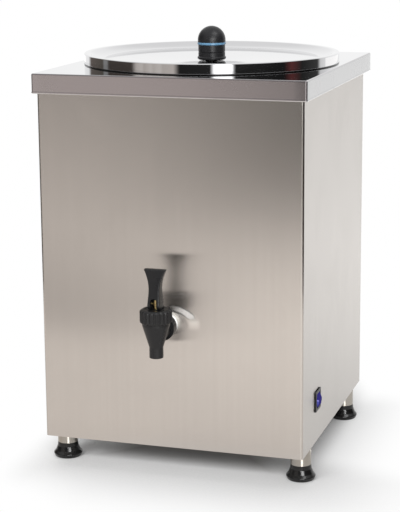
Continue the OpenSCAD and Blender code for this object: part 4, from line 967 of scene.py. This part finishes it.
def lever_levels(z):
    """Half width, front and back at heights z: a cosine neck and squared flare, the cam's arc, tapers
    with the power TAPER, and a round crest."""
    share = (z - lever_low) / (lever_top - lever_low)
    drawn = NECK + (BASE - NECK) * (1 + np.cos(np.pi * np.clip(share / NECK_AT, 0, 1))) / 2
    flared = NECK + (TOP - NECK) * (np.clip(share - NECK_AT, 0, 1) / (1 - NECK_AT)) ** 2
    half = np.where(share < NECK_AT, drawn, flared)
    up, reach = z - pin_z, lever_top - pin_z
    cam = CAM_AT - np.sqrt(np.clip(CAM_R ** 2 - up ** 2, 0, None))
    leant = CAM_AT - CAM_R + (CAM_R - CAM_AT - TOP_T) * np.clip(up / reach, 0, 1) ** TAPER
    front = np.where(up < 0, cam, leant)
    back = HEEL - (HEEL - TOP_T) * np.clip((up - CAM_R) / (reach - CAM_R), 0, 1) ** TAPER
    crest = CREST - np.sqrt(np.clip(CREST ** 2 - np.clip(z - crest_low, 0, CREST) ** 2, 0, None))
    return half - crest, front + crest, back - crest


print("the lever has", len(levels), "levels")

# %% Lever
EDGE_R, EDGE_STEPS, SLOT_WALL = 1.4, 6, 2.0  # rounded edges, and the wall behind the notch


def lever_section(z):
    """The outline at each height: front right, round the back to front left, then the notch; one row
    of points a level."""
    half, front, back = (v[:, None] for v in lever_levels(z))
    arch = np.sqrt(np.clip(1 - np.clip((z - SLOT_ARCH) / SLOT_W, 0, 1) ** 2, 0, 1))[:, None]
    notch, depth = SLOT_W * arch, np.minimum(SLOT_IN, back - SLOT_WALL - front) * arch
    turn = quarter(EDGE_STEPS)[None]
    run, rise = EDGE_R * np.cos(turn), EDGE_R * np.sin(turn)
    side, near, far = half - EDGE_R, front + EDGE_R, back - EDGE_R
    x = [notch, side + rise, side + run, -(side + rise), -(side + run), -notch, -notch, notch]
    y = [front, near - run, far + rise, far + run, near - rise, front, front + depth, front + depth]
    return np.concatenate(x, 1), np.concatenate(y, 1)


x, y = lever_section(levels)
z = np.broadcast_to(levels[:, None], x.shape)
lever_points = np.stack([tap_axis[0] + x * MM, tap_axis[1] + y * MM, z * MM], -1)
rows, columns = x.shape
caps = [list(range(columns)), list(range((rows - 1) * columns, rows * columns))]
lever = link_mesh("lever_skin", lever_points, grid_faces(rows, columns, False, True) + caps, 35.0)
dress(lever, "lever", "black_tap", "tap_handle")

# %% [markdown]
# ## Switch bezel
#
# The switch snaps into the side through a moulded frame with a soft outer edge. The frame is a
# small profile carried round a rectangle that stands upright on the casing's right side. A
# bevelled box with a hole would be as quick, but the profile gives each edge its own radius.

# %% Switch bezel
low, high = np.array(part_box("switch_housing"))
switch_middle, switch_half = ((low + high) / 2)[1:], (high - low)[1:] / 2 / MM
FRAME_W, FRAME_CORNER = 2.5, 1.6
frame_outline = soften([
    (0, 0, 0), (0, 1.9, 1.0), (-1.9, 2.1, 0.5), (-FRAME_W, 1.3, 0.2), (-FRAME_W, 0, 0),
])
path, outward = rounded_rectangle(*switch_half, FRAME_CORNER, arc_steps=7)
upright_points, heights = carried(frame_outline, path, outward)
frame_points = np.concatenate([wrap_right + heights * MM, switch_middle + upright_points * MM], -1)
bezel = link_mesh("bezel_frame", frame_points, grid_faces(len(frame_outline), len(path), True, True))
dress(bezel, "cabinet", "black_housing")

# %% [markdown]
# ## Lights for the black pieces
#
# Black plastic and rubber return only a few hundredths of what falls on them, so a highlight
# on them needs a light far brighter than white. The tall strip beside the camera and a square
# overhead are such lights. They are linked to the tap, knob, feet and switch alone; the steel
# has them already, as part of the room. The sleeves of the feet look down on the sheet, so for
# three of them a small lamp lies there beside the foot, as the strip's image in the sheet.

# %% Linked lights
BLACK_PARTS = (
    "tap_body", "tap_washer", "knob_base", "knob_ring", "knob_dome", "foot_rubbers", "switch_housing",
)
SLEEVE_R = 0.0115  # metres, the radius of a foot's sleeve
STRIP_AT = math.radians(25)  # to the right of straight ahead
IMAGE_AT, IMAGE_GAP = 0.105, 0.0005  # metres from the foot's axis, and above the sheet
IMAGE_W, IMAGE_L, IMAGE_POWER = 0.02, 0.10, 0.017  # metres, metres and watts


def gathered(name, pieces):
    """A collection of pieces that lamps can be linked to."""
    collection = bpy.data.collections.new(name)
    for piece in pieces:
        collection.objects.link(piece)
    return collection


black_pieces = gathered("black_pieces", [cad[name] for name in BLACK_PARTS] + [bonnet, lever, bezel])
soft_lamp("strip", (1.05, -2.0, 0.75), width=0.55, height=1.5, power=31.0, receivers=black_pieces)
soft_lamp("top_square", (0.9, -0.5, 1.8), width=0.9, height=0.9, power=10.0, receivers=black_pieces)
sleeves = gathered("sleeves", [cad["foot_sleeves"]])
low, high = np.array(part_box("foot_sleeves"))
left_x, front_y = low[:2] + SLEEVE_R
right_x, rear_y = high[:2] - SLEEVE_R
to_strip = np.array([math.sin(STRIP_AT), -math.cos(STRIP_AT), 0.0])
feet = {"image_left": (left_x, front_y), "image_right": (right_x, front_y), "image_rear": (right_x, rear_y)}
for name, (x, y) in feet.items():
    spot = np.array([x, y, IMAGE_GAP]) + IMAGE_AT * to_strip
    image = soft_lamp(name, spot, IMAGE_W, IMAGE_L, IMAGE_POWER, spot + [0.0, 0.0, 1.0], to_strip, sleeves)
    image.visible_camera = False
